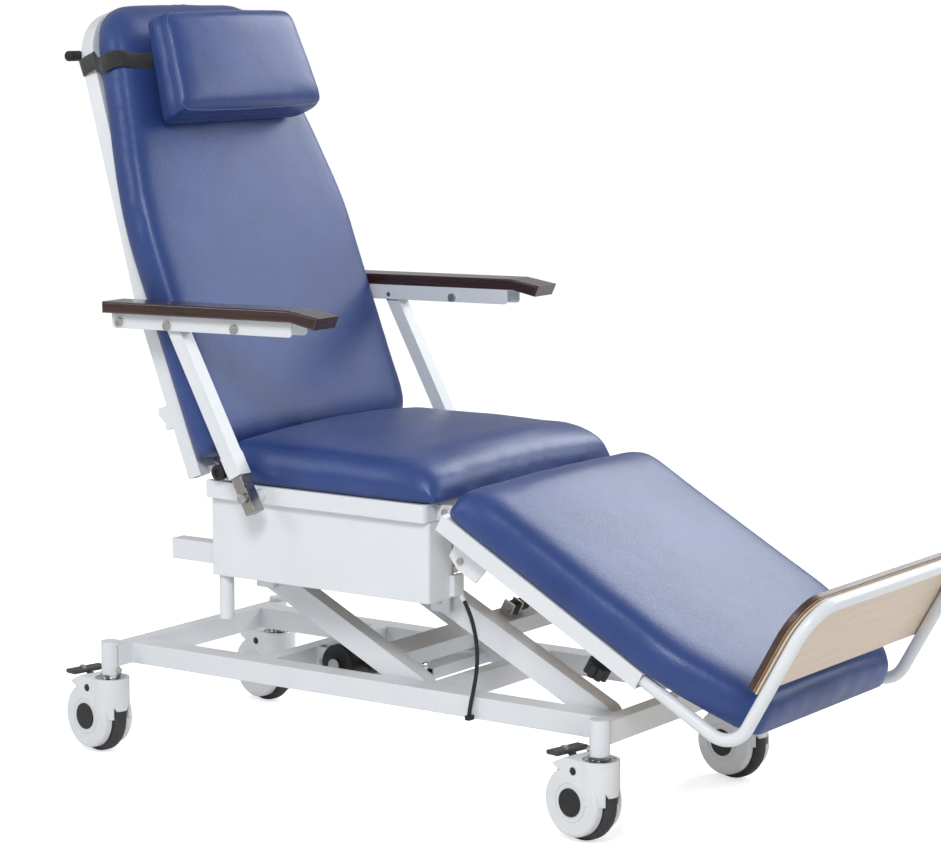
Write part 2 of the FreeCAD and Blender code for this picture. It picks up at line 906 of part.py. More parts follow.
def arm_cross_tube(place):
    """The square tube that ties two arms together."""
    across = ("-arm_outer + arm_width", "arm_outer - arm_width")
    along = (f"{place} - cross_tube / 2", f"{place} + cross_tube / 2")
    return tube(across, along, ("-cross_tube / 2", "cross_tube / 2"), "x")


lift = {
    "rear": tilted(size("rear_pivot_along"), size("low_pivot_height"), size("lift_angle")),
    "front": tilted(size("front_pivot_along"), size("low_pivot_height"), size("lift_angle")),
}

ram_anchor = Vector(size("motor_across"), size("anchor_along"), size("anchor_height"))
ram_end = Vector(size("motor_across"), size("ram_end_along"), size("ram_end_height"))
ram_line = ram_end - ram_anchor
ram_tilt = math.degrees(math.atan2(-ram_line.z, -ram_line.y))
ram_place = Placement(ram_anchor, Rotation(Vector(1, 0, 0), ram_tilt).multiply(HALF_TURN))
ram_spot = lift["rear"].inverse().multVec(ram_end)


def ram_ears():
    """Two ears under the rear cross tube, with the pin that the ram pushes."""
    half, ear = size("ram_eye_width") / 2 + size("side_gap"), size("ram_ear")
    high = -size("cross_tube") / 2
    reach = size("ram_pin_radius") + size("ram_ear")
    low = ram_spot.z - reach
    pieces = []
    for start in (-half - ear, half):
        corner = Vector(size("motor_across") + start, ram_spot.y - reach, low)
        pieces.append(Part.makeBox(ear, 2 * reach, high - low, corner))
    pin_start = Vector(size("motor_across") - half - ear, ram_spot.y, ram_spot.z)
    pin = Part.makeCylinder(size("ram_pin_radius"), 2 * (half + ear), pin_start, Vector(1, 0, 0))
    return shaped("RamEars", pieces[0].fuse([pieces[1], pin]).removeSplitter())


rear_arm, front_arm = lift_arm(), lift_arm()
node(
    "rear_lift_arms",
    group(rear_arm, mirrored(rear_arm), arm_cross_tube("rear_cross_at"), ram_ears()),
    lift["rear"],
)
node("front_lift_arms", group(front_arm, mirrored(front_arm), arm_cross_tube("front_cross_at")), lift["front"])


def clevis():
    """Two ears and a bolt on top of the front cross tube."""
    pieces = []
    bolt_height = "cross_tube / 2 + clevis_height - 2 * clevis_pin_radius"
    for sign in (-1, 1):
        near = f"clevis_across + {sign} * clevis_inside / 2"
        far = f"clevis_across + {sign} * (clevis_inside / 2 + clevis_ear)"
        across = (near, far) if sign > 0 else (far, near)
        ear = block(
            across,
            ("front_cross_at - clevis_inside / 2", "front_cross_at + clevis_inside / 2"),
            ("cross_tube / 2", "cross_tube / 2 + clevis_height"),
        )
        hole = rod("x", "clevis_pin_radius", outset(across), ("front_cross_at", bolt_height))
        pieces.append(cut(ear, hole))
    bolt = rod(
        "x",
        "clevis_pin_radius",
        ("clevis_across - clevis_inside / 2 - 2 * clevis_ear", "clevis_across + clevis_bush_length"),
        ("front_cross_at", bolt_height),
    )
    return group(*pieces, bolt)


def clevis_bushes():
    """Rubber bushes on the clevis bolt: one between the ears, one beside them."""
    bolt_height = "cross_tube / 2 + clevis_height - 2 * clevis_pin_radius"
    spans = (
        ("clevis_across - clevis_inside / 2", "clevis_across + clevis_inside / 2"),
        ("clevis_across + clevis_inside / 2 + clevis_ear", "clevis_across + clevis_bush_length"),
    )
    bushes = []
    for span in spans:
        outside = rod("x", "clevis_bush_radius", span, ("front_cross_at", bolt_height))
        inside = rod("x", "clevis_pin_radius", outset(span), ("front_cross_at", bolt_height))
        bushes.append(cut(outside, inside))
    return group(*bushes)


node("lift_clevis", clevis(), lift["front"])
node("clevis_bushes", clevis_bushes(), lift["front"])


def pivot_pins(inner, outer, spots):
    """A pair of pins for each pivot line."""
    pins = [rod("x", "pin_radius", (inner, outer), spot) for spot in spots]
    return [both_sides(pin) for pin in pins]


low_spots = [(along, "low_pivot_height") for along in LOW_PIVOTS]
lower_pins = pivot_pins("arm_outer - arm_width - side_gap", "rail_inner + tube_wall", low_spots)

# Lift motor, drawn along Y from its anchor and then laid on the ram's line


def lift_motor():
    """Gearbox boss, motor barrel and outer ram tube in one housing."""
    eye = ("-ram_eye_width / 2", "ram_eye_width / 2")
    boss = block(eye, ("0", "ram_tube_start"), eye)
    round_end = rod("x", "ram_eye_width / 2", eye, ("0", "0"))
    barrel = rod(
        "x", "motor_radius", ("-motor_overhang", "motor_length - motor_overhang"), ("motor_at", "motor_lift")
    )
    barrel = softened(barrel, "shell_round", lambda edge: isinstance(edge.Curve, Part.Circle))
    outer = rod("y", "ram_tube_radius", ("ram_tube_start", "ram_tube_end"), ("0", "0"))
    whole = join(boss, round_end, barrel, outer)
    room = rod("y", "ram_rod_radius + running_gap", ("ram_rod_start", "ram_tube_end + overrun"), ("0", "0"))
    hole = rod("x", "ram_pin_radius + running_gap", outset(eye), ("0", "0"))
    return cut(whole, room, hole)


def ram_rod():
    """The pushed rod and its slotted eye, wide enough for the linkage's small mismatch."""
    reach = ram_line.Length
    inner = size("ram_pin_radius") + size("ram_open_gap")
    outer = inner + size("ram_eye_wall")
    eye_half = size("ram_eye_width") / 2
    start = size("ram_rod_start") + size("side_gap")
    shaft = Part.makeCylinder(
        size("ram_rod_radius"), reach - start, Vector(0, start, 0), Vector(0, 1, 0)
    )
    eye = Part.makeCylinder(outer, 2 * eye_half, Vector(-eye_half, reach, 0), Vector(1, 0, 0))
    hole = Part.makeCylinder(inner, 4 * eye_half, Vector(-2 * eye_half, reach, 0), Vector(1, 0, 0))
    return shaped("RamRod", shaft.fuse(eye).cut(hole).removeSplitter())


motor_end = "motor_length - motor_overhang"
motor_cap = rod("x", "motor_cap_radius", (motor_end, f"{motor_end} + motor_cap"), ("motor_at", "motor_lift"))
node("lift_motor", group(lift_motor(), motor_cap), ram_place)
node("ram_rod", ram_rod(), ram_place)
anchor_bolt = rod(
    "x",
    "ram_pin_radius",
    ("motor_across - ram_eye_width / 2 - 2 * ram_ear", "motor_across + ram_eye_width / 2 + 2 * ram_ear"),
    ("anchor_along", "anchor_height"),
)
rear_screws = both_sides(post_screw())
node("base_bolts", group(*lower_pins, anchor_bolt, rear_screws, mirrored(rear_screws, Vector(0, 1, 0))))

# Seat chassis: rails, beams, corner tubes, hangers and hinge lugs, all welded

CHASSIS = ("chassis_low", "chassis_low + chassis_height")
BEAM = ("chassis_low + chassis_height", "chassis_low + 2 * chassis_height")
LIFT_RISE = "arm_length * sin(lift_angle * 1 deg)"
LIFT_RUN = "arm_length * cos(lift_angle * 1 deg)"
HIGH_SPOTS = [(f"{along} + {LIFT_RUN}", f"low_pivot_height + {LIFT_RISE}") for along in LOW_PIVOTS]


def hanger(spot):
    """A plate under a chassis rail that carries a lift arm's upper pin."""
    along, height = spot
    across = ("chassis_inner", "chassis_inner + hanger_thick")
    leaf = block(
        across,
        (f"{along} - hanger_half", f"{along} + hanger_half"),
        (f"{height} - hanger_half", "chassis_low"),
    )
    return cut(leaf, rod("x", "pin_radius", outset(across), spot))


def back_lug():
    """A plate behind the rear beam that holds the backrest's hinge pin."""
    across = ("hinge_lug_across - hinge_lug", "hinge_lug_across")
    leaf = block(
        across,
        ("rear_beam_along + cross_beam_depth", "back_pivot_along + hinge_lug_half"),
        ("chassis_low + chassis_height", "back_pivot_height + hinge_eye"),
    )
    return cut(leaf, rod("x", "hinge_pin_radius", outset(across), ("back_pivot_along", "back_pivot_height")))


LEG_LUG_ACROSS = (
    "leg_outer - leg_rail_wide - leg_plate - side_gap - leg_lug",
    "leg_outer - leg_rail_wide - leg_plate - side_gap",
)


def leg_lug():
    """A plate ahead of the rim that holds the leg rest's hinge pin."""
    leaf = block(
        LEG_LUG_ACROSS,
        ("leg_pivot_along - hinge_eye", "rim_front"),
        ("rim_low", "leg_pivot_height + hinge_eye"),
    )
    return cut(leaf, rod("x", "hinge_pin_radius", outset(LEG_LUG_ACROSS), ("leg_pivot_along", "leg_pivot_height")))


def beam(start):
    """A cross beam on top of the chassis rails, from one skirt wall to the other."""
    wide = ("-skirt_across + sheet", "skirt_across - sheet")
    return tube(wide, (start, f"{start} + cross_beam_depth"), BEAM, "x")


rail = tube(
    ("chassis_inner", "chassis_inner + chassis_width"), ("chassis_front", "chassis_rear"), CHASSIS, "y"
)
corner_spot = ("corner_tube_across", "rear_beam_along + cross_beam_depth + corner_tube_radius")
corner_tube = cut(
    rod("z", "corner_tube_radius", ("corner_tube_low", BEAM[1]), corner_spot),
    rod("z", "corner_tube_radius - tube_wall", ("corner_tube_low - overrun", f"{BEAM[1]} + overrun"), corner_spot),
)
chassis_pieces = [rail, corner_tube, *[hanger(spot) for spot in HIGH_SPOTS], back_lug(), leg_lug()]
node(
    "chassis_frame",
    group(
        *[both_sides(piece) for piece in chassis_pieces],
        beam("front_beam_along"),
        beam("rear_beam_along"),
    ),
)
upper_pins = pivot_pins("arm_outer - arm_width - side_gap", "chassis_inner + hanger_thick", HIGH_SPOTS)
back_pin = rod(
    "x", "hinge_pin_radius", ("hinge_lug_across - hinge_lug", "hinge_lug_across + side_gap + hinge_lug"),
    ("back_pivot_along", "back_pivot_height"),
)
leg_pin = rod(
    "x", "hinge_pin_radius", (LEG_LUG_ACROSS[0], "leg_outer - leg_rail_wide"),
    ("leg_pivot_along", "leg_pivot_height"),
)

# Seat skirt and rim: sheet round three sides, with short returns at the rear


def front_corner(edge):
    """Whether an edge is upright and at the front."""
    return runs(edge, Vector(0, 0, 1)) and edge.BoundBox.YMax < 0


def wrap(across, front, rear, low, high, wall, back_return, corner):
    """A wall round the sides and front, turned in at the rear corners."""
    tall = (f"{low} - overrun", f"{high} + overrun")
    outside = softened(block((f"-{across}", across), (front, rear), (low, high)), corner, front_corner)
    inside = block(
        (f"-{across} + {wall}", f"{across} - {wall}"), (f"{front} + {wall}", f"{rear} - {wall}"), tall
    )
    inside = softened(inside, corner, front_corner, wall)
    gap = block(
        (f"-{across} + {back_return}", f"{across} - {back_return}"),
        (f"{rear} - {wall} - overrun", f"{rear} + overrun"), tall,
    )
    return cut(outside, inside, gap)


skirt = wrap(
    "skirt_across", "skirt_front", "skirt_rear", "skirt_low", "skirt_high", "sheet", "skirt_return", "skirt_round"
)
skirt_mouth = block(
    ("-skirt_across + skirt_front_return", "skirt_across - skirt_front_return"),
    ("skirt_front - overrun", "skirt_front + sheet + overrun"),
    ("skirt_low - overrun", "skirt_high + overrun"),
)
node("seat_skirt", cut(skirt, skirt_mouth))
rim = wrap("rim_across", "rim_front", "rim_rear", "rim_low", "rim_high - board_thick", "rim_wall",
           "rim_return", "rim_round")
lip = cut(
    softened(
        block(("-rim_across", "rim_across"), ("rim_front", "rim_rear"), ("rim_high - board_thick", "rim_high")),
        "rim_round", front_corner,
    ),
    block(
        ("-seat_board_across", "seat_board_across"),
        ("rim_front + rim_wall", "rim_rear + overrun"),
        ("rim_high - board_thick - overrun", "rim_high + overrun"),
    ),
)
rim_boss = rod(
    "x", "pin_radius + screw_radius", ("rim_across", "strut_inner - side_gap"), ("knuckle_along", "knuckle_height")
)
node("seat_rim", join(rim, lip, rim_boss, mirrored(rim_boss)))
node(
    "seat_board",
    block(
        ("-seat_board_across", "seat_board_across"),
        ("rim_front + rim_wall", "seat_board_rear"),
        ("rim_high - board_thick", "rim_high"),
    ),
)

# Seat cushion, with a waterfall front and room for the rear tube's end caps


def seat_cushion():
    """The seat's cushion, lofted from its waterfall front to the rear."""
    front, rear = size("seat_cushion_front"), size("seat_cushion_rear")
    high = size("seat_cushion_high")
    top = [
        (front, high - size("seat_front_drop")),
        (front + size("seat_front_reach"), high - size("seat_front_drop") / 4),
        ((front + rear) / 2, high),
        (rear, high),
    ]
    return cushion(
        "SeatCushion",
        (front, size("seat_front_reach"), size("seat_front_draw"), size("seat_front_thin_share")),
        (rear, size("seat_rear_reach"), size("seat_rear_draw"), size("seat_rear_thin_share")),
        [(front, size("seat_half")), (rear, size("seat_half"))],
        size("rim_high") + size("soft_gap"),
        top,
        size("seat_crown"),
    )


cap_spot = ("end_cap_along", "end_cap_height")
cap_span = ("end_cap_outer - end_cap_length", "end_cap_outer")
cap_rooms = both_sides(
    rod("x", "end_cap_radius + soft_gap", ("end_cap_outer - end_cap_length - cap_relief", "end_cap_outer + overrun"),
        cap_spot)
)
node("seat_cushion", cut(seat_cushion(), cap_rooms))
end_cap = softened(
    rod("x", "end_cap_radius", cap_span, cap_spot), "side_gap",
    lambda edge: isinstance(edge.Curve, Part.Circle)
    and edge.BoundBox.XMin > size("end_cap_outer") - size("side_gap"),
)
cap_hollow = ("end_cap_outer - cap_relief", "end_cap_outer + overrun")
end_cap = cut(end_cap, rod("x", "end_cap_radius / 2", cap_hollow, cap_spot))
cap_stub = rod(
    "x", "end_cap_radius / 2", ("end_cap_outer - end_cap_length - cap_relief", "end_cap_outer - end_cap_length"), cap_spot
)
node("seat_tube_caps", group(both_sides(join(end_cap, cap_stub))))

# Control box on the skirt's front, with the bolt above it and the gland below

box_across = ("box_across - box_width / 2", "box_across + box_width / 2")
box_along = ("skirt_front - box_depth", "skirt_front")
control_box = softened(
    block(box_across, box_along, ("box_low", "box_low + box_height")), "post_rim",
    lambda edge: runs(edge, Vector(0, 0, 1)),
)
gland = doc.addObject("Part::Cylinder", "Gland")
gland.Placement = Placement(Vector(), Rotation(Vector(1, 0, 0), 180 - size("gland_slant_angle")))
bind(gland, "Radius", "gland_radius")
bind(gland, "Height", "gland_length + gland_radius")
bind(gland, ".Placement.Base.x", "box_across + gland_aside")
bind(gland, ".Placement.Base.y", "skirt_front - box_depth / 2")
bind(gland, ".Placement.Base.z", "box_low + gland_radius / 2")
node("control_box", join(control_box, gland))

box_bolt = rod(
    "y", "screw_head_radius", ("skirt_front - screw_head", "skirt_front"), ("box_across", "box_bolt_height")
)
knuckle_spot = ("knuckle_along", "knuckle_height")
knuckle_span = ("strut_inner - side_gap", "strut_inner + strut_wide + side_gap")
knuckle_bolt = rod("x", "pin_radius", knuckle_span, knuckle_spot)
knuckle_head = rod(
    "x", "pin_radius + post_rim", (knuckle_span[1], f"{knuckle_span[1]} + screw_head"), knuckle_spot
)
node(
    "seat_bolts",
    group(
        box_bolt,
        both_sides(join(knuckle_bolt, knuckle_head)),
        *upper_pins,
        both_sides(back_pin),
        both_sides(leg_pin),
    ),
)

# Cord: leaves the gland downwards, bows forward and ends in a boot on the side rail

CORD_POINTS = (
    Vector(-173, -200.8, 329.6),
    Vector(-174.6, -209.5, 316.4),
    Vector(-177.9, -219.8, 299),
    Vector(-183.6, -231.6, 268),
    Vector(-190.2, -236.8, 232),
    Vector(-196.4, -234.4, 198),
    Vector(-200.2, -230.2, 172),
    Vector(-201.2, -228.8, 157.7),
)
CORD_ARC_SHARE = 0.45


def cord_radii(points):
    """The arc at each inner point: a share of the shorter run, over the tangent of half the turn."""
    radii = []
    for before, corner, after in zip(points, points[1:], points[2:]):
        turn = (corner - before).getAngle(after - corner)
        shorter = min((corner - before).Length, (after - corner).Length)
        radii.append(CORD_ARC_SHARE * shorter / math.tan(turn / 2))
    return radii


def cord():
    """The cord's tube, checked against its section times its length."""
    radii = cord_radii(CORD_POINTS)
    path = rounded_path(list(CORD_POINTS), radii)
    start = ring(CORD_POINTS[0], CORD_POINTS[1] - CORD_POINTS[0], size("cord_radius"))
    solid = swept(path, [start])
    print("cord radii", [round(radius, 1) for radius in radii], "length", round(path.Length, 1))
    print("cord volume share", round(solid.Volume / (math.pi * size("cord_radius") ** 2 * path.Length), 4))
    return shaped("Cord", solid)


node("cord", cord())


def cord_boot():
    """A small moulded boot on the near side rail that takes the cord in."""
    foot = CORD_POINTS[-1]
    half = size("boot_depth")
    wall = -size("rail_inner") - size("rail_width")
    reach = foot.x - size("cord_radius") - size("post_rim")
    top = foot.z - 2 * size("soft_gap")
    body = Part.makeBox(
        wall - reach, 2 * half, size("boot_length"), Vector(reach, foot.y - half, top - size("boot_length"))
    )
    return shaped("CordBoot", body)


node("cord_boot", cord_boot())

# Backrest, drawn with Y up the back and Z towards the sitter, from the frame's foot

back_place = tilted(size("back_foot_along"), size("back_foot_height"), QUARTER_TURN - size("recline_angle"))
LEAN = "recline_angle * 1 deg"
PIVOT_UP = (
    f"((back_pivot_along - back_foot_along) * sin({LEAN}) + (back_pivot_height - back_foot_height) * cos({LEAN}))"
)
PIVOT_OUT = (
    f"((back_foot_along - back_pivot_along) * cos({LEAN}) + (back_pivot_height - back_foot_height) * sin({LEAN}))"
)


def back_hoop():
    """The bent rectangular tube: two legs that draw in towards a rounded head."""
    deep, wide = size("frame_deep"), size("frame_wide")
    middle = -deep / 2
    legs = size("frame_half") - wide / 2
    shoulder = size("frame_shoulder_half") - wide / 2
    head = size("frame_top") - wide / 2
    slope = (shoulder - legs) / (size("frame_shoulder") - size("frame_taper_start"))
    at_head = legs + slope * (head - size("frame_taper_start"))
    right = [Vector(legs, 0, middle), Vector(legs, size("frame_taper_start"), middle), Vector(at_head, head, middle)]
    left = [Vector(-spot.x, spot.y, spot.z) for spot in reversed(right)]
    radii = [size("frame_knee"), size("frame_round"), size("frame_round"), size("frame_knee")]
    path = rounded_path(right + left, radii)

    def outline(wall):
        half_wide, half_deep = wide / 2 - wall, deep / 2 - wall
        corners = [(-1, -1), (1, -1), (1, 1), (-1, 1), (-1, -1)]
        spots = [Vector(legs + half_wide * a, 0, middle + half_deep * b) for a, b in corners]
        return Part.makePolygon(spots)

    return shaped("BackHoop", swept(path, [outline(0), outline(size("tube_wall"))]))


def back_bar(start, half):
    """A cross bar between the frame's legs."""
    return tube(
        (f"-({half})", half), (start, f"{start} + frame_bar"), ("-frame_deep + tube_wall", "-tube_wall"), "x"
    )


def back_arm():
    """The plate from the frame's leg down to the hinge pin."""
    across = ("hinge_lug_across + side_gap", "hinge_lug_across + side_gap + hinge_lug")
    outline = [
        (f"{PIVOT_UP} - hinge_eye", f"{PIVOT_OUT} - hinge_eye / 2"),
        (f"{PIVOT_UP} - hinge_eye", f"{PIVOT_OUT} + hinge_eye / 2"),
        (f"{PIVOT_UP} - hinge_eye / 2", f"{PIVOT_OUT} + hinge_eye"),
        (f"{PIVOT_UP} + hinge_eye / 2", f"{PIVOT_OUT} + hinge_eye"),
        ("back_cushion_low - moving_gap", "-tube_wall"),
        ("frame_bar_low + frame_bar", "-tube_wall"),
        ("frame_bar_low + frame_bar", "-frame_deep + tube_wall"),
        ("frame_bar_low", "-frame_deep + tube_wall"),
    ]
    leaf = plate("yz", outline, "hinge_lug_across + side_gap + hinge_lug / 2", "hinge_lug")
    return cut(leaf, rod("x", "hinge_pin_radius + running_gap", outset(across), (PIVOT_UP, PIVOT_OUT)))


def back_hook():
    """A short folded hook on the back of the right leg."""
    outline = [
        ("hook_at", "-frame_deep"),
        ("hook_at", "-frame_deep - hook_reach * 0.7"),
        ("hook_at + hook_height * 0.3", "-frame_deep - hook_reach * 0.6"),
        ("hook_at + hook_height * 0.75", "-frame_deep - hook_reach"),
        ("hook_at + hook_height", "-frame_deep - hook_reach * 0.8"),
        ("hook_at + hook_height", "-frame_deep"),
    ]
    return plate("yz", outline, "-frame_half + hook_width / 2", "hook_width")


GRIP_OUT = "-frame_deep - grip_radius - soft_gap"


def push_bar():
    """The push bar behind the head of the frame, on two short blocks."""
    half = "grip_reach - moving_gap"
    bar = rod("x", "grip_bar_radius", (f"-({half})", half), ("grip_at", GRIP_OUT))
    stand = block(
        ("frame_shoulder_half - frame_wide + side_gap", "grip_reach - grip_length - side_gap"),
        ("grip_at - grip_bar_radius", "grip_at + grip_bar_radius"),
        (GRIP_OUT, "-frame_deep"),
    )
    return join(bar, stand, mirrored(stand))


ARM_BOLT_ALONG = "knuckle_along + strut_run + rear_bolt_behind / cos(pad_tilt_angle * 1 deg) - back_foot_along"
ARM_BOLT_HIGH = "knuckle_height + strut_rise - back_foot_height"


def arm_stub():
    """A round stub on the frame's leg that the armrest's rear bolt turns on."""
    up = f"({ARM_BOLT_ALONG}) * sin({LEAN}) + ({ARM_BOLT_HIGH}) * cos({LEAN})"
    out = f"({ARM_BOLT_HIGH}) * sin({LEAN}) - ({ARM_BOLT_ALONG}) * cos({LEAN})"
    return rod("x", "arm_stub_radius", ("frame_half", "channel_inner - arm_bolt_head_thick"), (up, out))


frame_inside = "frame_half - frame_wide"
lean_in = "(frame_half - frame_shoulder_half) / (frame_shoulder - frame_taper_start)"
high_half = f"{frame_inside} - (frame_bar_high + frame_bar - frame_taper_start) * {lean_in} - side_gap"
node(
    "back_frame",
    group(
        back_hoop(),
        back_bar("frame_bar_low", frame_inside),
        back_bar("frame_bar_high", high_half),
        both_sides(back_arm()),
        both_sides(arm_stub()),
        back_hook(),
        push_bar(),
    ),
    back_place,
)

BACK_BOARD_SHARES = ((0.0, 1.0), (0.48, 1.0), (0.93, 0.66), (1.0, 0.4))


def back_board(grow):
    """The plywood panel on the frame's front face, or the room that it needs."""
    foot = size("back_cushion_low") + size("cushion_edge") / 2
    length = size("frame_top") - size("frame_wide") - foot
    half = size("back_cushion_half") - size("back_underside") - size("side_gap") + grow
    right = [Vector(half * wide, foot + length * up, 0) for up, wide in BACK_BOARD_SHARES]
    right[0].y -= grow
    right[-1].y += grow
    left = [Vector(-spot.x, spot.y, 0) for spot in reversed(right)]
    face = Part.Face(Part.makePolygon(right + left + right[:1]))
    return face.extrude(Vector(0, 0, size("board_thick") + grow))


def back_half_knots():
    """Half widths of the back's cushion at heights up the back."""
    return [
        (size("back_cushion_low"), size("back_foot_half")),
        (size("back_wide_from"), size("back_cushion_half")),
        (size("back_wide_to"), size("back_cushion_half")),
        (size("back_narrow_from"), size("back_narrow_half")),
        (size("back_cushion_top"), size("back_top_half")),
    ]


def back_cushion():
    """The back's cushion, drawn in towards the head."""
    low, top = size("back_cushion_low"), size("back_cushion_top")
    return cushion(
        "BackCushion",
        (low, size("back_low_reach"), size("back_low_draw"), size("back_low_thin_share")),
        (top, size("back_top_reach"), size("back_top_draw"), size("back_top_thin_share")),
        back_half_knots(),
        size("soft_gap"),
        [(low, size("back_cushion_thick")), (top, size("back_cushion_thick"))],
        size("back_crown"),
        BACK_EDGES,
    )


node("back_board", shaped("BackBoard", back_board(0)), back_place)
back_pad = back_cushion()
node("back_cushion", cut(back_pad, shaped("BackRoom", back_board(size("soft_gap")))), back_place)


def grip():
    """A rubber grip on one end of the push bar."""
    span = ("grip_reach - grip_length", "grip_reach")
    spot = ("grip_at", GRIP_OUT)
    sleeve = rod("x", "grip_radius", span, spot)
    sleeve = softened(sleeve, "post_rim", lambda edge: isinstance(edge.Curve, Part.Circle))
    return cut(sleeve, rod("x", "grip_bar_radius", (f"{span[0]} - overrun", f"{span[1]} - moving_gap"), spot))


node("push_grips", both_sides(grip()), back_place)

# Head cushion and the strap that holds it, in the backrest's own axes


def head_cushion():
    """A wedge-shaped pillow, wider at its foot and thicker at its head."""
    low, high = size("head_low"), size("head_high")
    foot = size("back_cushion_thick") + size("back_crown") + size("head_standoff")
    end = (size("head_reach"), size("head_draw"), size("head_thin_share"))
    return cushion(
        "HeadCushion",
        (low, *end),
        (high, *end),
        [(low, size("head_half_low")), (high, size("head_half_high"))],
        foot,
        [(low, foot + size("head_thick_low")), (high, foot + size("head_thick_high"))],
        size("head_crown"),
        HEAD_EDGES,
    )


def head_strap():
    """A flat band round the frame's head and the back cushion, under the pillow."""
    wide = size("strap_width")
    foot = size("strap_at") - wide / 2
    slope = (size("frame_half") - size("frame_shoulder_half")) / (size("frame_shoulder") - size("frame_taper_start"))
    frame_half = size("frame_half") - slope * (foot - size("frame_taper_start"))
    pad_half = between(foot, back_half_knots())
    slack = size("strap_slack")

    def grown(clear):
        high = size("back_cushion_thick") + clear
        outline = cushion_section(
            foot, pad_half + slack + clear, -clear, high, size("back_crown") + size("side_gap"), BACK_EDGES
        )
        pad = Part.Face(outline).extrude(Vector(0, wide, 0))
        half, back = frame_half + clear, -size("frame_deep") - clear
        frame = Part.makeBox(2 * half, wide, size("board_thick") - back, Vector(-half, foot, back))
        return pad.fuse(frame)

    clear = size("strap_clear")
    band = grown(clear + size("strap_thick")).cut(grown(clear))
    return shaped("HeadStrap", band.removeSplitter().Solids[0])


strap_room = block(
    ("-head_half_low - overrun", "head_half_low + overrun"),
    ("strap_at - strap_width / 2 - head_travel_up", "strap_at + strap_width / 2 + head_travel_down"),
    ("back_cushion_thick", "back_cushion_thick + back_crown + 2 * side_gap + strap_thick + 3 * strap_clear"),
)
node("head_cushion", cut(head_cushion(), strap_room), back_place)
node("head_strap", head_strap(), back_place)

# Armrest struts, drawn with Z up the strut from the knuckle's bolt

strut_length = math.hypot(size("strut_rise"), size("strut_run"))
strut_lean = math.degrees(math.atan2(size("strut_run"), size("strut_rise")))
strut_place = tilted(size("knuckle_along"), size("knuckle_height"), -strut_lean)
STRUT_LENGTH = "sqrt(strut_rise * strut_rise + strut_run * strut_run)"
STRUT_ACROSS = ("strut_inner", "strut_inner + strut_wide")
STRUT_DEEP = ("-strut_deep / 2", "strut_deep / 2")


def strut():
    """The square strut: a lower sleeve and the tube that stands in it, round at its head."""
    top = (STRUT_LENGTH, f"{STRUT_LENGTH} + strut_deep / 2")
    slim_across, slim_deep = inset(STRUT_ACROSS, "sleeve_slim"), inset(STRUT_DEEP, "sleeve_slim")
    upper = block(slim_across, slim_deep, ("sleeve_above", STRUT_LENGTH))
    head = rod("x", "strut_deep / 2 - sleeve_slim", slim_across, ("0", STRUT_LENGTH))
    inside = ("sleeve_above - overrun", f"{STRUT_LENGTH} - strut_deep / 2")
    hollow = block(inset(slim_across), inset(slim_deep), inside)
    hole = rod("x", "arm_bolt_radius + running_gap", outset(STRUT_ACROSS), ("0", STRUT_LENGTH))
    upper = cut(join(upper, head), hollow, hole)
    sleeve = block(STRUT_ACROSS, STRUT_DEEP, ("knuckle_above", "sleeve_above"))
    sleeve_inside = ("knuckle_above - overrun", "sleeve_above + overrun")
    sleeve = cut(sleeve, block(inset(STRUT_ACROSS), inset(STRUT_DEEP), sleeve_inside))
    return group(upper, sleeve)


def knuckle():
    """The bright square knuckle at the strut's foot, bored for its bolt."""
    across, deep = inset(STRUT_ACROSS, "knuckle_slim"), inset(STRUT_DEEP, "knuckle_slim")
    whole = block(across, deep, ("-knuckle_below", "knuckle_above"))
    hole = rod("x", "pin_radius + running_gap", outset(STRUT_ACROSS), ("0", "0"))
    return cut(whole, hole)


node("arm_struts", both_sides(strut()), strut_place)
node("arm_knuckles", both_sides(knuckle()), strut_place)

# Arm beams and pads, drawn along Y from the strut's upper bolt, tilted with the pad

arm_place = tilted(
    size("knuckle_along") + size("strut_run"), size("knuckle_height") + size("strut_rise"), -size("pad_tilt_angle")
)
CHANNEL_ACROSS = ("channel_inner", "channel_inner + channel_wide")
ARM_BOLTS = (
    ("-front_bolt_ahead", "0"),
    ("0", "0"),
    ("rear_bolt_behind", "rear_bolt_behind * tan(pad_tilt_angle * 1 deg)"),
)


def arm_channel():
    """A channel that opens downwards, with rounded lower corners, bored for three bolts."""
    outline = [
        ("-channel_front", "-channel_below"),
        ("rear_bolt_behind + channel_rear", "-channel_below"),
        ("rear_bolt_behind + channel_rear", "channel_above"),
        ("-channel_front", "channel_above"),
    ]
    whole = plate("yz", outline, "channel_inner + channel_wide / 2", "channel_wide")
    whole = softened(
        whole, "channel_round",
        lambda edge: runs(edge, Vector(1, 0, 0)) and edge.BoundBox.ZMax < 0,
    )
    room = block(
        inset(CHANNEL_ACROSS, "channel_wall"),
        ("-channel_front - overrun", "rear_bolt_behind + channel_rear + overrun"),
        ("-channel_below - overrun", "channel_above - channel_wall"),
    )
    holes = [rod("x", "arm_bolt_radius", outset(CHANNEL_ACROSS), spot) for spot in ARM_BOLTS]
    return cut(whole, room, *holes)


def arm_pad():
    """The hardwood pad, bent down at its nose, with eased edges."""
    outline = [
        ("rear_bolt_behind + pad_rear", "channel_above"),
        ("rear_bolt_behind + pad_rear", "channel_above + pad_thick"),
        ("-pad_bend", "channel_above + pad_thick"),
        ("-pad_nose", "channel_above + pad_thick - pad_nose_drop"),
        ("-pad_nose + pad_thick / 2", "channel_above - pad_nose_drop"),
        ("-pad_bend - pad_round", "channel_above"),
    ]
    whole = plate("yz", outline, "pad_inner + pad_wide / 2", "pad_wide")
    return softened(whole, "pad_round", lambda edge: not runs(edge, Vector(1, 0, 0)))


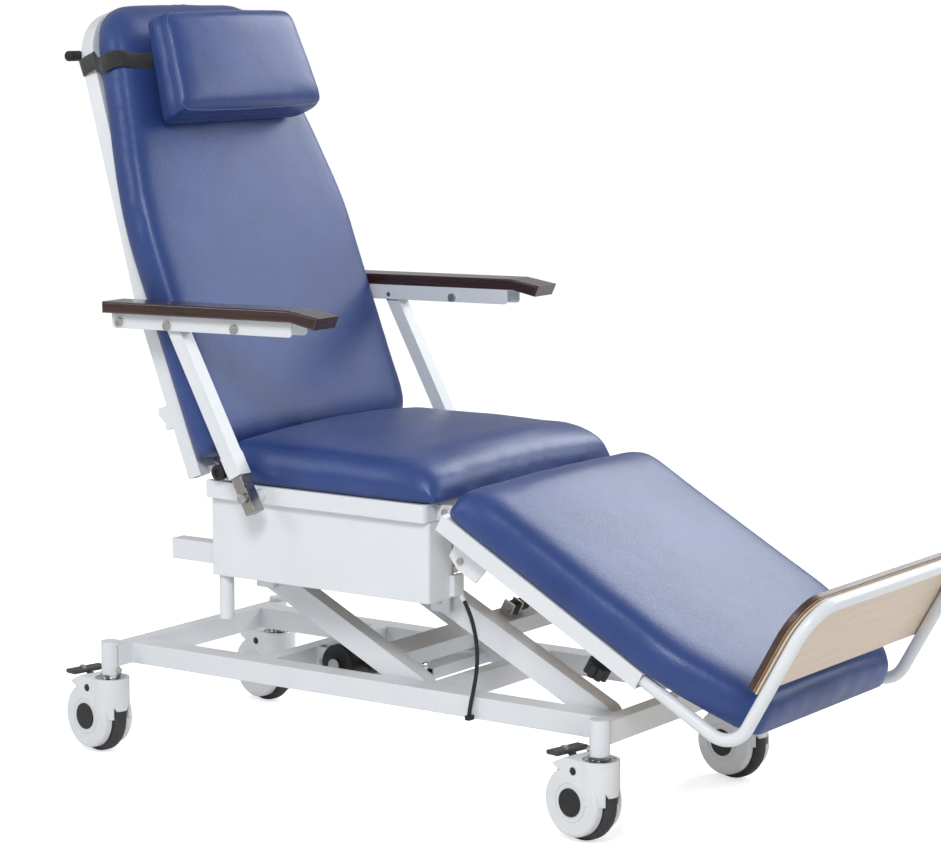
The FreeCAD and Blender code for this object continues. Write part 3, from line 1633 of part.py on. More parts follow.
def arm_bolts():
    """Three bolts through the channel, each with an outer head and all but the strut's with a nut."""
    inner, outer = CHANNEL_ACROSS
    pieces = []
    for spot in ARM_BOLTS:
        bolt = [rod("x", "arm_bolt_radius", CHANNEL_ACROSS, spot)]
        bolt.append(rod("x", "arm_bolt_head", (outer, f"{outer} + arm_bolt_head_thick"), spot))
        if spot[0] != "0":
            bolt.append(rod("x", "arm_bolt_head", (f"{inner} - arm_bolt_head_thick", inner), spot))
        pieces.append(both_sides(join(*bolt)))
    return group(*pieces)


channel, pad = arm_channel(), arm_pad()
node("arm_channel_left", channel, arm_place)
node("arm_channel_right", mirrored(channel))
node("arm_pad_left", pad, arm_place)
node("arm_pad_right", mirrored(pad))
node("arm_bolts", arm_bolts(), arm_place)

# Leg rest, drawn with Y down the legs and Z out of its board, from its pivot

leg_place = tilted(size("leg_pivot_along"), size("leg_pivot_height"), size("leg_slope_angle"), HALF_TURN)
LEG_RAIL = ("leg_outer - leg_rail_wide", "leg_outer")


def leg_rail():
    """A side tube that the footrest slides in, drilled for the clamp knob."""
    rail_side = tube(LEG_RAIL, ("leg_rail_start", "leg_rail_end"), ("leg_rail_low", "leg_rail_high"), "y")
    hole = rod(
        "z", "knob_stem_radius + running_gap", ("leg_rail_low - overrun", "leg_rail_low + tube_wall + overrun"),
        ("foot_tube_across", "knob_at"),
    )
    return cut(rail_side, hole)


def leg_plate():
    """The hinge plate inside the rail, with its lobe for the lever bolt."""
    outline = [
        ("-hinge_eye", "-hinge_eye"),
        ("leg_rail_start * 2", "leg_rail_low"),
        ("leg_bolt_at - 2 * hinge_eye", "-leg_bolt_drop + hinge_eye"),
        ("leg_bolt_at - 2 * hinge_eye", "-leg_bolt_drop - leg_bolt_radius"),
        ("leg_bolt_at", "leg_plate_low"),
        ("leg_plate_reach - 2 * leg_bolt_radius", "leg_plate_low"),
        ("leg_plate_reach", "leg_rail_low"),
        ("leg_plate_reach", "leg_rail_high - tube_wall"),
        ("leg_rail_start", "leg_rail_high - tube_wall"),
        ("-hinge_eye", "leg_rail_high - tube_wall"),
    ]
    leaf = plate("yz", outline, "leg_outer - leg_rail_wide - leg_plate / 2", "leg_plate")
    across = ("leg_outer - leg_rail_wide - leg_plate", "leg_outer - leg_rail_wide")
    pin_hole = rod("x", "hinge_pin_radius + running_gap", outset(across), ("0", "0"))
    bolt_hole = rod("x", "leg_bolt_radius", outset(across), ("leg_bolt_at", "-leg_bolt_drop"))
    return cut(leaf, pin_hole, bolt_hole)


leg_inside = "leg_outer - leg_rail_wide"
leg_bar = tube(
    (f"-({leg_inside})", leg_inside), ("leg_bar_at", "leg_bar_at + leg_bar"),
    ("leg_rail_high - leg_bar", "leg_rail_high"), "x",
)
node("leg_frame", group(both_sides(leg_rail()), both_sides(leg_plate()), leg_bar), leg_place)
lever_bolt = rod(
    "x", "leg_bolt_radius",
    ("-leg_outer + leg_rail_wide - leg_bolt_radius", "leg_outer - leg_rail_wide + leg_bolt_radius"),
    ("leg_bolt_at", "-leg_bolt_drop"),
)
node("leg_lever_bar", lever_bolt, leg_place)

LEG_BOARD = (
    ("leg_cushion_half - cushion_edge", "leg_cushion_start + cushion_edge"),
    ("leg_cushion_half - cushion_edge", "leg_cushion_taper - cushion_edge"),
    ("leg_foot_half - cushion_edge", "leg_board_end"),
)


def leg_board(gap):
    """The plywood panel under the leg cushion, or the room that it needs."""
    right = list(LEG_BOARD)
    left = [(f"-({x})", y) for x, y in reversed(right)]
    high = "leg_rail_high + board_thick"
    middle = f"(leg_rail_high + {high}) / 2"
    if not gap:
        return plate("xy", right + left, middle, "board_thick")
    grown = []
    for x, y in right + left:
        sign = "-" if x.startswith("-") else "+"
        end = "-" if "start" in y else "+"
        grown.append((f"{x} {sign} soft_gap", f"{y} {end} soft_gap"))
    return plate("xy", grown, middle, "board_thick + 2 * soft_gap")


def leg_cushion():
    """The leg rest's cushion, drawn in at the foot so that the footrest passes it."""
    start, end = size("leg_cushion_start"), size("leg_cushion_end")
    foot = size("leg_rail_high") + size("soft_gap")
    high = size("leg_rail_high") + size("leg_cushion_thick") - size("leg_crown")
    half = [
        (start, size("leg_cushion_half")),
        (size("leg_cushion_taper"), size("leg_cushion_half")),
        (end, size("leg_foot_half")),
    ]
    return cushion(
        "LegCushion",
        (start, size("leg_start_reach"), size("leg_start_draw"), size("leg_start_thin_share")),
        (end, size("leg_end_reach"), size("leg_end_draw"), size("leg_end_thin_share")),
        half,
        foot,
        [(start, high), (end, high)],
        size("leg_crown"),
    )


node("leg_board", leg_board(False), leg_place)
node("leg_cushion", cut(leg_cushion(), leg_board(True)), leg_place)

# Footrest: a bent tube that slides in the leg rails, and its board

foot_axis = (size("leg_rail_low") + size("leg_rail_high")) / 2


def foot_tube():
    """The U-shaped tube, bent up at the feet and round at its top corners."""
    across, top = size("foot_tube_across"), size("foot_top") - size("foot_tube_radius")
    right = [
        Vector(across, size("foot_tube_inside"), foot_axis),
        Vector(across, size("foot_riser"), foot_axis),
        Vector(across, size("foot_riser"), top),
    ]
    left = [Vector(-spot.x, spot.y, spot.z) for spot in reversed(right)]
    radii = [size("foot_bend"), size("foot_top_bend"), size("foot_top_bend"), size("foot_bend")]
    path = rounded_path(right + left, radii)
    outer = ring(right[0], Vector(0, 1, 0), size("foot_tube_radius"))
    inner = ring(right[0], Vector(0, 1, 0), size("foot_tube_radius") - size("foot_tube_wall"))
    return shaped("FootTube", swept(path, [outer, inner]))


def foot_board():
    """The laminated board on the sitter's side of the tube, round at its top corners."""
    half, high = "foot_tube_across + foot_tube_radius", "foot_top - foot_board_below"
    outline = [(f"-({half})", "foot_board_low"), (half, "foot_board_low"), (half, high), (f"-({half})", high)]
    board = plate("xz", outline, "foot_riser - foot_tube_radius - foot_board_thick / 2", "foot_board_thick")
    middle = (size("foot_board_low") + size("foot_top")) / 2
    return softened(
        board, "foot_board_round", lambda edge: runs(edge, Vector(0, 1, 0)) and edge.BoundBox.ZMin > middle
    )


node("foot_tube", foot_tube(), leg_place)
node("foot_board", foot_board(), leg_place)

# Star knobs that clamp the footrest


def star_knob(side):
    """A lobed knob on a threaded stem that reaches the footrest's tube."""
    tip = foot_axis - size("foot_tube_radius") - size("soft_gap")
    top = size("leg_rail_low") - size("knob_neck")
    spot = Vector(side * size("foot_tube_across"), size("knob_at"), 0)
    lobe_ring = size("knob_radius") - size("knob_lobe_radius")
    low = top - size("knob_depth")
    solid = Part.makeCylinder(lobe_ring, size("knob_depth"), Vector(0, 0, low))
    for index in range(int(size("knob_lobes"))):
        angle = index * math.tau / size("knob_lobes")
        centre = Vector(lobe_ring * math.cos(angle), lobe_ring * math.sin(angle), low)
        solid = solid.fuse(Part.makeCylinder(size("knob_lobe_radius"), size("knob_depth"), centre))
    neck = Part.makeCylinder(lobe_ring / 2, size("knob_neck") - size("side_gap"), Vector(0, 0, top))
    stem = Part.makeCylinder(size("knob_stem_radius"), tip - top, Vector(0, 0, top))
    solid = solid.fuse([neck, stem]).removeSplitter()
    solid.translate(spot)
    return shaped("StarKnob", solid)


node("star_knob_left", star_knob(-1), leg_place)
node("star_knob_right", star_knob(1), leg_place)

# Checks and export

doc.recompute()
failed = [thing.Label for thing in doc.Objects if "Invalid" in thing.State or "Error" in thing.State]
failed += [piece.Label for piece in NODES if piece.Shape.isNull() or not piece.Shape.isValid()]
if failed:
    raise SystemExit("failed objects: " + ", ".join(failed))
for piece in NODES:
    piece.Shape.exportStep(f"parts/{piece.Label}.step")
print(len(NODES), "nodes written")
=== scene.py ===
import math

import bmesh
import bpy
import numpy as np
from mathutils import Matrix, Vector, noise
from mathutils.bvhtree import BVHTree


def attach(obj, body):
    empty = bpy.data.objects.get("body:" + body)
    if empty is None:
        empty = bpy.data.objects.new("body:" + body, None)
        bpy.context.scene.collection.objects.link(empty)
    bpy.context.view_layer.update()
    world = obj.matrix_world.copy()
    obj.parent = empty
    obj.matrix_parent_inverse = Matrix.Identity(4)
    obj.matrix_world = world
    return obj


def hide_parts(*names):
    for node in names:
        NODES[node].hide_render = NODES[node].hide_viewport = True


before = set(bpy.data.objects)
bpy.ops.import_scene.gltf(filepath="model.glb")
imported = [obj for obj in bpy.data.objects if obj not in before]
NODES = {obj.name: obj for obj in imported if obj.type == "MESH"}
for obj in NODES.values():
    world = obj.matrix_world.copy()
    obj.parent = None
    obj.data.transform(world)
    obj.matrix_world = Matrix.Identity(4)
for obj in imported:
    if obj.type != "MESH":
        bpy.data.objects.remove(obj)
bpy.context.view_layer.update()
CORNERS = {"rear_right": (-1, 1), "rear_left": (1, 1), "front_right": (-1, -1), "front_left": (1, -1)}


# Materials


class Look:
    """A node material with a principled shader and a few helpers."""

    def __init__(self, name):
        self.material = bpy.data.materials.new(name)
        self.material.use_nodes = True
        self.tree = self.material.node_tree
        self.shader = self.tree.nodes["Principled BSDF"]
        self.place = self.add("ShaderNodeTexCoord").outputs["Object"]
        self.normal = None

    def add(self, kind, **values):
        node = self.tree.nodes.new(kind)
        for key, value in values.items():
            setattr(node, key, value)
        return node

    def link(self, source, target):
        self.tree.links.new(source, target)

    def set(self, **values):
        for key, value in values.items():
            self.shader.inputs[key.replace("_", " ")].default_value = value
        return self

    def stretched(self, scale, turn=(0, 0, 0)):
        mapping = self.add("ShaderNodeMapping")
        mapping.inputs["Scale"].default_value = scale
        mapping.inputs["Rotation"].default_value = turn
        self.link(self.place, mapping.inputs["Vector"])
        return mapping.outputs["Vector"]

    def noise(self, scale, detail=4, rough=0.55, place=None, distortion=0.0):
        node = self.add("ShaderNodeTexNoise")
        node.inputs["Scale"].default_value = scale
        node.inputs["Detail"].default_value = detail
        node.inputs["Roughness"].default_value = rough
        node.inputs["Distortion"].default_value = distortion
        self.link(place or self.place, node.inputs["Vector"])
        return node.outputs["Fac"]

    def cells(self, scale, feature):
        node = self.add("ShaderNodeTexVoronoi", feature=feature)
        node.inputs["Scale"].default_value = scale
        self.link(self.place, node.inputs["Vector"])
        return node.outputs["Distance"]

    def ramp(self, source, stops):
        node = self.add("ShaderNodeValToRGB")
        elements = node.color_ramp.elements
        while len(elements) < len(stops):
            elements.new(0.5)
        for element, (place, colour) in zip(elements, stops):
            element.position = place
            element.color = (*colour, 1)
        self.link(source, node.inputs["Fac"])
        return node.outputs["Color"]

    def spread(self, source, low, high, start=0.3, end=0.7):
        node = self.add("ShaderNodeMapRange")
        node.inputs["From Min"].default_value = start
        node.inputs["From Max"].default_value = end
        node.inputs["To Min"].default_value = low
        node.inputs["To Max"].default_value = high
        self.link(source, node.inputs["Value"])
        return node.outputs["Result"]

    def colour(self, source, stops):
        self.link(self.ramp(source, stops), self.shader.inputs["Base Color"])
        return self

    def rough(self, source, low, high):
        self.link(self.spread(source, low, high), self.shader.inputs["Roughness"])
        return self

    def bump(self, height, distance, strength=1.0):
        node = self.add("ShaderNodeBump")
        node.inputs["Distance"].default_value = distance
        node.inputs["Strength"].default_value = strength
        self.link(height, node.inputs["Height"])
        if self.normal:
            self.link(self.normal, node.inputs["Normal"])
        self.normal = node.outputs["Normal"]
        self.link(self.normal, self.shader.inputs["Normal"])
        return self

    def bevel(self, radius):
        node = self.add("ShaderNodeBevel", samples=4)
        node.inputs["Radius"].default_value = radius
        self.normal = node.outputs["Normal"]
        self.link(self.normal, self.shader.inputs["Normal"])
        return self


def paint(name, low, high, bevel=0.0012):
    look = Look(name)
    look.set(Roughness=0.34, Coat_Weight=0.25, Coat_Roughness=0.2).bevel(bevel)
    look.colour(look.noise(9, 3), [(0.3, low), (0.7, high)])
    look.rough(look.noise(35, 4), 0.3, 0.42)
    look.bump(look.noise(700, 2), 0.00012, 0.35)
    return look.material


def metal(name, low, high, rough, stretch=(1, 1, 1), bevel=0.0006, scale=120):
    look = Look(name)
    look.set(Metallic=1.0).bevel(bevel)
    grain = look.noise(scale, 6, 0.6, look.stretched(stretch))
    look.colour(grain, [(0.3, low), (0.7, high)])
    look.rough(grain, *rough)
    look.bump(grain, 0.0001, 0.3)
    return look.material


def plated(name, dark, bright, rough, scale):
    """Bright plating whose colour carries a painted reflection of a dark and light room in soft patches."""
    look = Look(name)
    look.set(Metallic=1.0).bevel(0.0008)
    # Painted reflection: dark and bright patches of the base colour stand in for a mirrored room.
    painted_reflection = look.noise(scale, 2, 0.4, look.stretched((1, 1, 0.5)), 1.5)
    look.colour(painted_reflection, [(0.42, dark), (0.56, bright)])
    look.rough(look.noise(300, 3), *rough)
    return look.material


def plastic(name, low, high, rough, bevel=0.0012, grain=450, depth=0.00012):
    look = Look(name)
    look.bevel(bevel)
    look.colour(look.noise(14, 3), [(0.3, low), (0.7, high)])
    look.rough(look.noise(60, 3), *rough)
    look.bump(look.noise(grain, 3), depth, 0.5)
    return look.material


def vinyl(name, low, middle, high):
    look = Look(name)
    look.set(Specular_IOR_Level=0.46, Specular_Tint=(0.72, 0.84, 1, 1))
    look.set(Coat_Weight=0.08, Coat_Roughness=0.3)
    broad = look.noise(7, 3)
    look.colour(broad, [(0.28, low), (0.5, middle), (0.74, high)])
    look.rough(look.noise(260, 4), 0.32, 0.42)
    look.bump(look.noise(230, 3, 0.55), 0.00045, 0.45)
    look.bump(look.cells(560, "SMOOTH_F1"), 0.00035, 0.6)
    return look.material


def wood(name, stops, along, rough, coat, bevel=0.0012):
    look = Look(name)
    look.set(Coat_Weight=coat, Coat_Roughness=0.15).bevel(bevel)
    stretch = tuple(0.05 if axis == along else 1.0 for axis in "xyz")
    place = look.stretched(stretch)
    grain = look.noise(140, 6, 0.65, place, 0.4)
    look.colour(grain, stops)
    look.rough(grain, *rough)
    look.bump(look.noise(420, 3, 0.6, place), 0.00015, 0.4)
    return look.material


def rubber(name, low, high, rough):
    look = Look(name)
    look.bevel(0.001)
    look.colour(look.noise(30, 4), [(0.3, low), (0.7, high)])
    look.rough(look.noise(80, 4), *rough)
    look.bump(look.noise(300, 4), 0.0002, 0.5)
    return look.material


def webbing(name):
    look = Look(name)
    look.set(Roughness=0.85, Sheen_Weight=0.3)
    wave = look.add("ShaderNodeTexWave", bands_direction="DIAGONAL")
    wave.inputs["Scale"].default_value = 260
    look.link(look.place, wave.inputs["Vector"])
    look.colour(wave.outputs["Fac"], [(0.2, (0.006, 0.006, 0.007)), (0.8, (0.03, 0.03, 0.032))])
    look.bump(wave.outputs["Fac"], 0.0003, 0.6)
    return look.material


LOOKS = {
    "white": paint("white_paint", (0.735, 0.77, 0.805), (0.775, 0.805, 0.84)),
    "shell": plastic("shell_plastic", (0.75, 0.775, 0.8), (0.8, 0.82, 0.84), (0.3, 0.42), 0.0025),
    "vinyl": vinyl("navy_vinyl", (0.022, 0.046, 0.172), (0.028, 0.057, 0.205), (0.035, 0.068, 0.235)),
    "plywood": wood(
        "plywood", [(0.3, (0.33, 0.22, 0.12)), (0.7, (0.45, 0.31, 0.18))], "y", (0.55, 0.7), 0.0
    ),
    "dark_wood": wood("dark_wood", [(0.3, (0.012, 0.006, 0.005)), (0.5, (0.035, 0.012, 0.008)),
                                    (0.75, (0.075, 0.022, 0.012))], "y", (0.22, 0.34), 0.5, 0.0018),
    "cream": wood("cream_board", [(0.25, (0.62, 0.50, 0.385)), (0.5, (0.69, 0.57, 0.45)),
                                  (0.75, (0.74, 0.63, 0.51))], "x", (0.36, 0.5), 0.1),
    "trim": wood(
        "dark_trim", [(0.3, (0.03, 0.014, 0.01)), (0.7, (0.07, 0.03, 0.02))], "x", (0.35, 0.5), 0.2
    ),
    "zinc": metal("zinc", (0.42, 0.42, 0.41), (0.6, 0.59, 0.56), (0.28, 0.45)),
    "chrome": plated("chrome", (0.16, 0.16, 0.17), (0.82, 0.83, 0.84), (0.06, 0.14), 45),
    "steel": metal(
        "bright_steel", (0.3, 0.285, 0.27), (0.46, 0.44, 0.42), (0.25, 0.4), (1, 1, 0.06), 0.0015, 300
    ),
    "black": plastic("black_plastic", (0.008, 0.008, 0.009), (0.016, 0.016, 0.018), (0.38, 0.55)),
    "grey": plastic("grey_plastic", (0.035, 0.035, 0.04), (0.06, 0.06, 0.066), (0.4, 0.55)),
    "motor_grey": plastic("motor_grey", (0.3, 0.31, 0.32), (0.38, 0.39, 0.4), (0.4, 0.5)),
    "rubber": rubber("black_rubber", (0.008, 0.008, 0.009), (0.018, 0.018, 0.02), (0.55, 0.75)),
    "tyre": rubber("tyre_rubber", (0.026, 0.025, 0.027), (0.048, 0.046, 0.05), (0.5, 0.7)),
    "strap": webbing("strap_webbing"),
    "thread": plastic("dark_thread", (0.004, 0.006, 0.02), (0.008, 0.012, 0.035), (0.6, 0.8)),
    "piping": plastic("pale_piping", (0.05, 0.085, 0.24), (0.07, 0.11, 0.3), (0.35, 0.5)),
}
NODE_LOOKS = {
    "white": [
        "base_frame", "base_mid_rails", "caster_posts", "rear_lift_arms", "front_lift_arms", "chassis_frame",
        "seat_skirt", "seat_rim", "back_frame", "arm_struts", "arm_channel_right", "arm_channel_left",
        "leg_frame", "foot_tube", "control_box",
    ],
    "zinc": ["base_bolts", "lift_clevis", "seat_bolts", "arm_bolts", "leg_lever_bar"],
    "chrome": ["bearing_cups", "ram_rod"],
    "rubber": ["cord_boot", "clevis_bushes", "push_grips"],
    "black": ["lift_motor", "seat_tube_caps", "star_knob_right", "star_knob_left"],
    "plywood": ["seat_board", "back_board", "leg_board"],
    "steel": ["arm_knuckles"],
    "dark_wood": ["arm_pad_right", "arm_pad_left"],
    "cream": ["foot_board"],
}
for corner in CORNERS:
    NODE_LOOKS["shell"] = NODE_LOOKS.get("shell", []) + [f"caster_shell_{corner}"]
    NODE_LOOKS["tyre"] = NODE_LOOKS.get("tyre", []) + [f"caster_wheel_{corner}"]
    NODE_LOOKS["black"].append(f"caster_axle_{corner}")
    NODE_LOOKS["grey"] = NODE_LOOKS.get("grey", []) + [f"brake_pedal_{corner}"]
for look, names in NODE_LOOKS.items():
    for name in names:
        mesh = NODES[name].data
        mesh.materials.clear()
        mesh.materials.append(LOOKS[look])


# Mesh helpers


def piece(name, mesh, body, look, smooth=True):
    """A finished mesh as a piece that rides on a body."""
    thing = bpy.data.objects.new(name, mesh)
    bpy.context.scene.collection.objects.link(thing)
    mesh.materials.clear()
    mesh.materials.append(LOOKS[look])
    if smooth:
        mesh.polygons.foreach_set("use_smooth", [True] * len(mesh.polygons))
    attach(thing, body)
    return thing


def from_bmesh(name, bm):
    mesh = bpy.data.meshes.new(name)
    bmesh.ops.recalc_face_normals(bm, faces=bm.faces)
    bm.to_mesh(mesh)
    bm.free()
    return mesh


def points_of(mesh):
    places = np.empty(len(mesh.vertices) * 3)
    mesh.vertices.foreach_get("co", places)
    return places.reshape(-1, 3)


def set_points(mesh, places):
    mesh.vertices.foreach_set("co", np.ascontiguousarray(places).ravel())
    mesh.update()


def normals_of(mesh):
    normals = np.empty(len(mesh.vertices) * 3)
    mesh.vertices.foreach_get("normal", normals)
    return normals.reshape(-1, 3)


def evaluated(thing):
    graph = bpy.context.evaluated_depsgraph_get()
    return bpy.data.meshes.new_from_object(thing.evaluated_get(graph))


# Body axes: the back and the leg rest are drawn in their own tilted frames

BACK = Matrix.Translation((0, 0.270, 0.495)) @ Matrix.Rotation(math.radians(90 - 21.1), 4, "X")
LEG = (
    Matrix.Translation((0, -0.205, 0.478)) @ Matrix.Rotation(math.radians(29.3), 4, "X")
    @ Matrix.Rotation(math.pi, 4, "Z")
)
SEAT = Matrix.Identity(4)


# Cushions: the solid's shape, remeshed, blown up as cloth and given creases


def remeshed(source, voxel):
    """A closed even mesh of a CAD solid."""
    thing = bpy.data.objects.new("remesh", source.data.copy())
    bpy.context.scene.collection.objects.link(thing)
    modifier = thing.modifiers.new("remesh", "REMESH")
    modifier.mode = "VOXEL"
    modifier.voxel_size = voxel
    mesh = evaluated(thing)
    bpy.data.objects.remove(thing)
    return mesh


def evened(mesh, values, rounds):
    """Values of the vertices, averaged with their neighbours' a number of times."""
    ends = np.empty(len(mesh.edges) * 2, dtype=np.int32)
    mesh.edges.foreach_get("vertices", ends)
    first, second, total = ends[0::2], ends[1::2], len(mesh.vertices)
    count = np.maximum(np.bincount(ends, minlength=total), 1)
    values = values.copy()
    for _ in range(rounds):
        for column in range(values.shape[1]):
            old = values[:, column]
            near = np.bincount(first, old[second], total) + np.bincount(second, old[first], total)
            values[:, column] = 0.5 * old + 0.5 * near / count
    return values


def blown(mesh, held, pressure, cap):
    """The mesh after a short inflation, its outward growth evened and capped and the held points kept."""
    rest, normals = points_of(mesh), normals_of(mesh)
    thing = bpy.data.objects.new("cloth", mesh.copy())
    bpy.context.scene.collection.objects.link(thing)
    group = thing.vertex_groups.new(name="held")
    for index in np.nonzero(held > 0.999)[0]:
        group.add([int(index)], 1.0, "REPLACE")
    cloth = thing.modifiers.new("cloth", "CLOTH")
    cloth.settings.vertex_group_mass = "held"
    cloth.settings.mass = 0.3
    cloth.settings.tension_stiffness = 18
    cloth.settings.compression_stiffness = 18
    cloth.settings.shear_stiffness = 6
    cloth.settings.bending_stiffness = 0.8
    cloth.settings.use_pressure = True
    cloth.settings.uniform_pressure_force = pressure
    cloth.settings.effector_weights.gravity = 0
    cloth.collision_settings.use_collision = False
    scene = bpy.context.scene
    for number in range(1, 21):
        scene.frame_set(number)
    after = points_of(evaluated(thing))
    scene.frame_set(1)
    bpy.data.objects.remove(thing)
    grown = ((after - rest) * normals).sum(axis=1, keepdims=True)
    grown = evened(mesh, np.clip(grown, 0, cap), 25)
    return rest + normals * grown * (1 - held[:, None])


def wrinkled(local, normals, upward, depth, rise):
    """Soft hollows on a cushion's top and upright creases round its sides, in its own axes."""
    out = np.zeros(len(local))
    for index, (x, y, z) in enumerate(local):
        broad = noise.noise(Vector((x * 8, y * 8, z * 8)))
        crease = noise.noise(Vector((x * 30 + 3, y * 30, z * 7)))
        side = 1 - abs(upward[index])
        out[index] = (0.55 * broad + (0.1 + 0.9 * side) * crease) * depth * rise[index]
    return out[:, None] * normals


SEAT_FOOT, SEAT_TALL = 0.4923, 0.074
BACK_FOOT, LEG_FOOT = 0.0003, 0.0103
PILLOW_FOOT, PILLOW_LOW, PILLOW_TALL = 0.079, 0.564, 0.176


def seat_shape(local):
    """Lower at the top and drawn in a little there."""
    high = np.clip((local[:, 2] - SEAT_FOOT) / SEAT_TALL, 0, 1)
    local[:, 0] *= 1 - 0.014 * high
    local[:, 1] += 0.010 * high * np.clip(-local[:, 1] / 0.1, 0, 1)
    local[:, 2] -= 0.007 * high


def back_shape(local):
    """A little shorter at the head end."""
    local[:, 1] -= 0.008 * np.clip((local[:, 1] - 0.55) / 0.25, 0, 1)


def pillow_shape(local):
    """Thinner and narrower at the head end, fuller at the foot."""
    up = np.clip((local[:, 1] - PILLOW_LOW) / PILLOW_TALL, 0, 1)
    out = np.clip((local[:, 2] - PILLOW_FOOT) / 0.075, 0, 1)
    local[:, 0] *= 1.03 - 0.06 * up
    local[:, 1] += 0.005 * out * (1 - up)
    local[:, 2] += out * (0.007 - 0.016 * up) + (1 - out) * 0.016 * up


def soft(name, node, body, axes, voxel, rounds, pressure, cap, depth, foot, shape=None):
    """A cushion in place of its CAD solid; foot is the height of its underside in its axes."""
    source = remeshed(NODES[node], voxel)
    inverse = np.array(axes.inverted())
    to_local = lambda places: places @ inverse[:3, :3].T + inverse[:3, 3]
    places = points_of(source)
    local = to_local(places)
    held = np.clip(1 - (local[:, 2] - foot - 0.006) / 0.018, 0, 1)
    if shape:
        shape(local)
        places = (local - inverse[:3, 3]) @ np.array(axes.to_3x3()).T
    places = held[:, None] * places + (1 - held[:, None]) * evened(source, places, rounds)
    set_points(source, places)
    places = blown(source, held, pressure, cap)
    set_points(source, places)
    normals = normals_of(source)
    upward = normals @ inverse[2, :3]
    places = places + wrinkled(to_local(places), normals, upward, depth, 1 - held)
    set_points(source, places)
    thing = piece(name, source, body, "vinyl")
    smooth = thing.modifiers.new("smooth", "SMOOTH")
    smooth.iterations = 2
    subdivision = thing.modifiers.new("fine", "SUBSURF")
    subdivision.levels = subdivision.render_levels = 1
    mesh = evaluated(thing)
    thing.modifiers.clear()
    thing.data = mesh
    mesh.polygons.foreach_set("use_smooth", [True] * len(mesh.polygons))
    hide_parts(node)
    return thing


soft("seat_pad", "seat_cushion", "seat", SEAT, 0.006, 14, 4, 0.002, 0.0020, SEAT_FOOT, seat_shape)
soft("back_pad", "back_cushion", "back", BACK, 0.006, 14, 4, 0.002, 0.0018, BACK_FOOT, back_shape)
soft("leg_pad", "leg_cushion", "leg", LEG, 0.006, 14, 4, 0.0025, 0.0016, LEG_FOOT)
pillow = soft(
    "head_pad", "head_cushion", "head", BACK, 0.005, 10, 4, 0.003, 0.0012, PILLOW_FOOT, pillow_shape
)

# Seams and stitches of the pillow, laid on its surface


def rounded(corners, radius, steps):
    """A closed outline through corners with rounded turns, as (across, up) pairs."""
    out = []
    total = len(corners)
    for index, corner in enumerate(corners):
        here = Vector(corner)
        before = Vector(corners[index - 1]) - here
        after = Vector(corners[(index + 1) % total]) - here
        start, end = here + before.normalized() * radius, here + after.normalized() * radius
        for step in range(steps + 1):
            part = step / steps
            out.append((1 - part) ** 2 * start + 2 * part * (1 - part) * here + part ** 2 * end)
    return out


def resampled(points, gap):
    """Points of a closed line at even gaps."""
    points = [Vector(point) for point in points]
    lengths = [(points[(i + 1) % len(points)] - points[i]).length for i in range(len(points))]
    count = max(8, round(sum(lengths) / gap))
    step, out, index, left = sum(lengths) / count, [], 0, 0.0
    for number in range(count):
        aim = number * step
        while left + lengths[index] < aim:
            left += lengths[index]
            index += 1
        out.append(points[index].lerp(points[(index + 1) % len(points)], (aim - left) / lengths[index]))
    return out


def on_surface(tree, places):
    """The nearest surface points and normals to given places."""
    found = [tree.find_nearest(place) for place in places]
    return [hit[0] for hit in found], [hit[1] for hit in found]


def tube_mesh(name, places, radius, sides=8):
    """A closed ring of tube through given places."""
    bm = bmesh.new()
    total, rings = len(places), []
    for index, place in enumerate(places):
        ahead = (places[(index + 1) % total] - places[index - 1]).normalized()
        side = ahead.orthogonal() if index == 0 else (side - ahead * side.dot(ahead)).normalized()
        side.normalize()
        other = ahead.cross(side)
        turns = [2 * math.pi * k / sides for k in range(sides)]
        around = [math.cos(a) * side + math.sin(a) * other for a in turns]
        rings.append([bm.verts.new(place + radius * way) for way in around])
    for index, ring in enumerate(rings):
        after = rings[(index + 1) % total]
        if index == total - 1:
            nearest = min(range(sides), key=lambda k: (after[k].co - ring[0].co).length)
            after = after[nearest:] + after[:nearest]
        for k in range(sides):
            bm.faces.new((ring[k], ring[(k + 1) % sides], after[(k + 1) % sides], after[k]))
    return from_bmesh(name, bm)


def stitches(name, places, normals, length, width, lift):
    """Short thread dashes along a line on a surface."""
    bm = bmesh.new()
    total = len(places)
    for index, (place, normal) in enumerate(zip(places, normals)):
        ahead = (places[(index + 1) % total] - places[index - 1]).normalized()
        side = normal.cross(ahead).normalized()
        frame_of = Matrix((ahead, side, normal)).transposed().to_4x4()
        scale = Matrix.Diagonal((length / 2, width / 2, width / 2, 1))
        bmesh.ops.create_uvsphere(
            bm, u_segments=8, v_segments=5, radius=1,
            matrix=Matrix.Translation(place + normal * lift) @ frame_of @ scale,
        )
    return from_bmesh(name, bm)


tree = BVHTree.FromPolygons(
    [vertex.co.copy() for vertex in pillow.data.vertices],
    [tuple(face.vertices) for face in pillow.data.polygons],
)
front = rounded([(-0.181, 0.574), (0.181, 0.574), (0.160, 0.734), (-0.160, 0.734)], 0.016, 5)
rear = rounded([(-0.189, 0.570), (0.189, 0.570), (0.168, 0.738), (-0.168, 0.738)], 0.016, 5)
front_high = lambda up: PILLOW_FOOT + 0.057 + 0.007 * (up - PILLOW_LOW) / PILLOW_TALL
front_line = [BACK @ Vector((p[0], p[1], front_high(p[1]))) for p in resampled(front, 0.006)]
front_line, _ = on_surface(tree, front_line)
piece("pillow_seam", tube_mesh("pillow_seam", front_line, 0.0011), "head", "piping")
for name, inward in (("pillow_stitch", 0.006), ("pillow_stitch_low", 0.028)):
    line = [BACK @ Vector((p[0], p[1], front_high(p[1]) - inward)) for p in resampled(rear, 0.0055)]
    places, normals = on_surface(tree, line)
    piece(name, stitches(name, places, normals, 0.0034, 0.0009, 0.0001), "head", "thread")

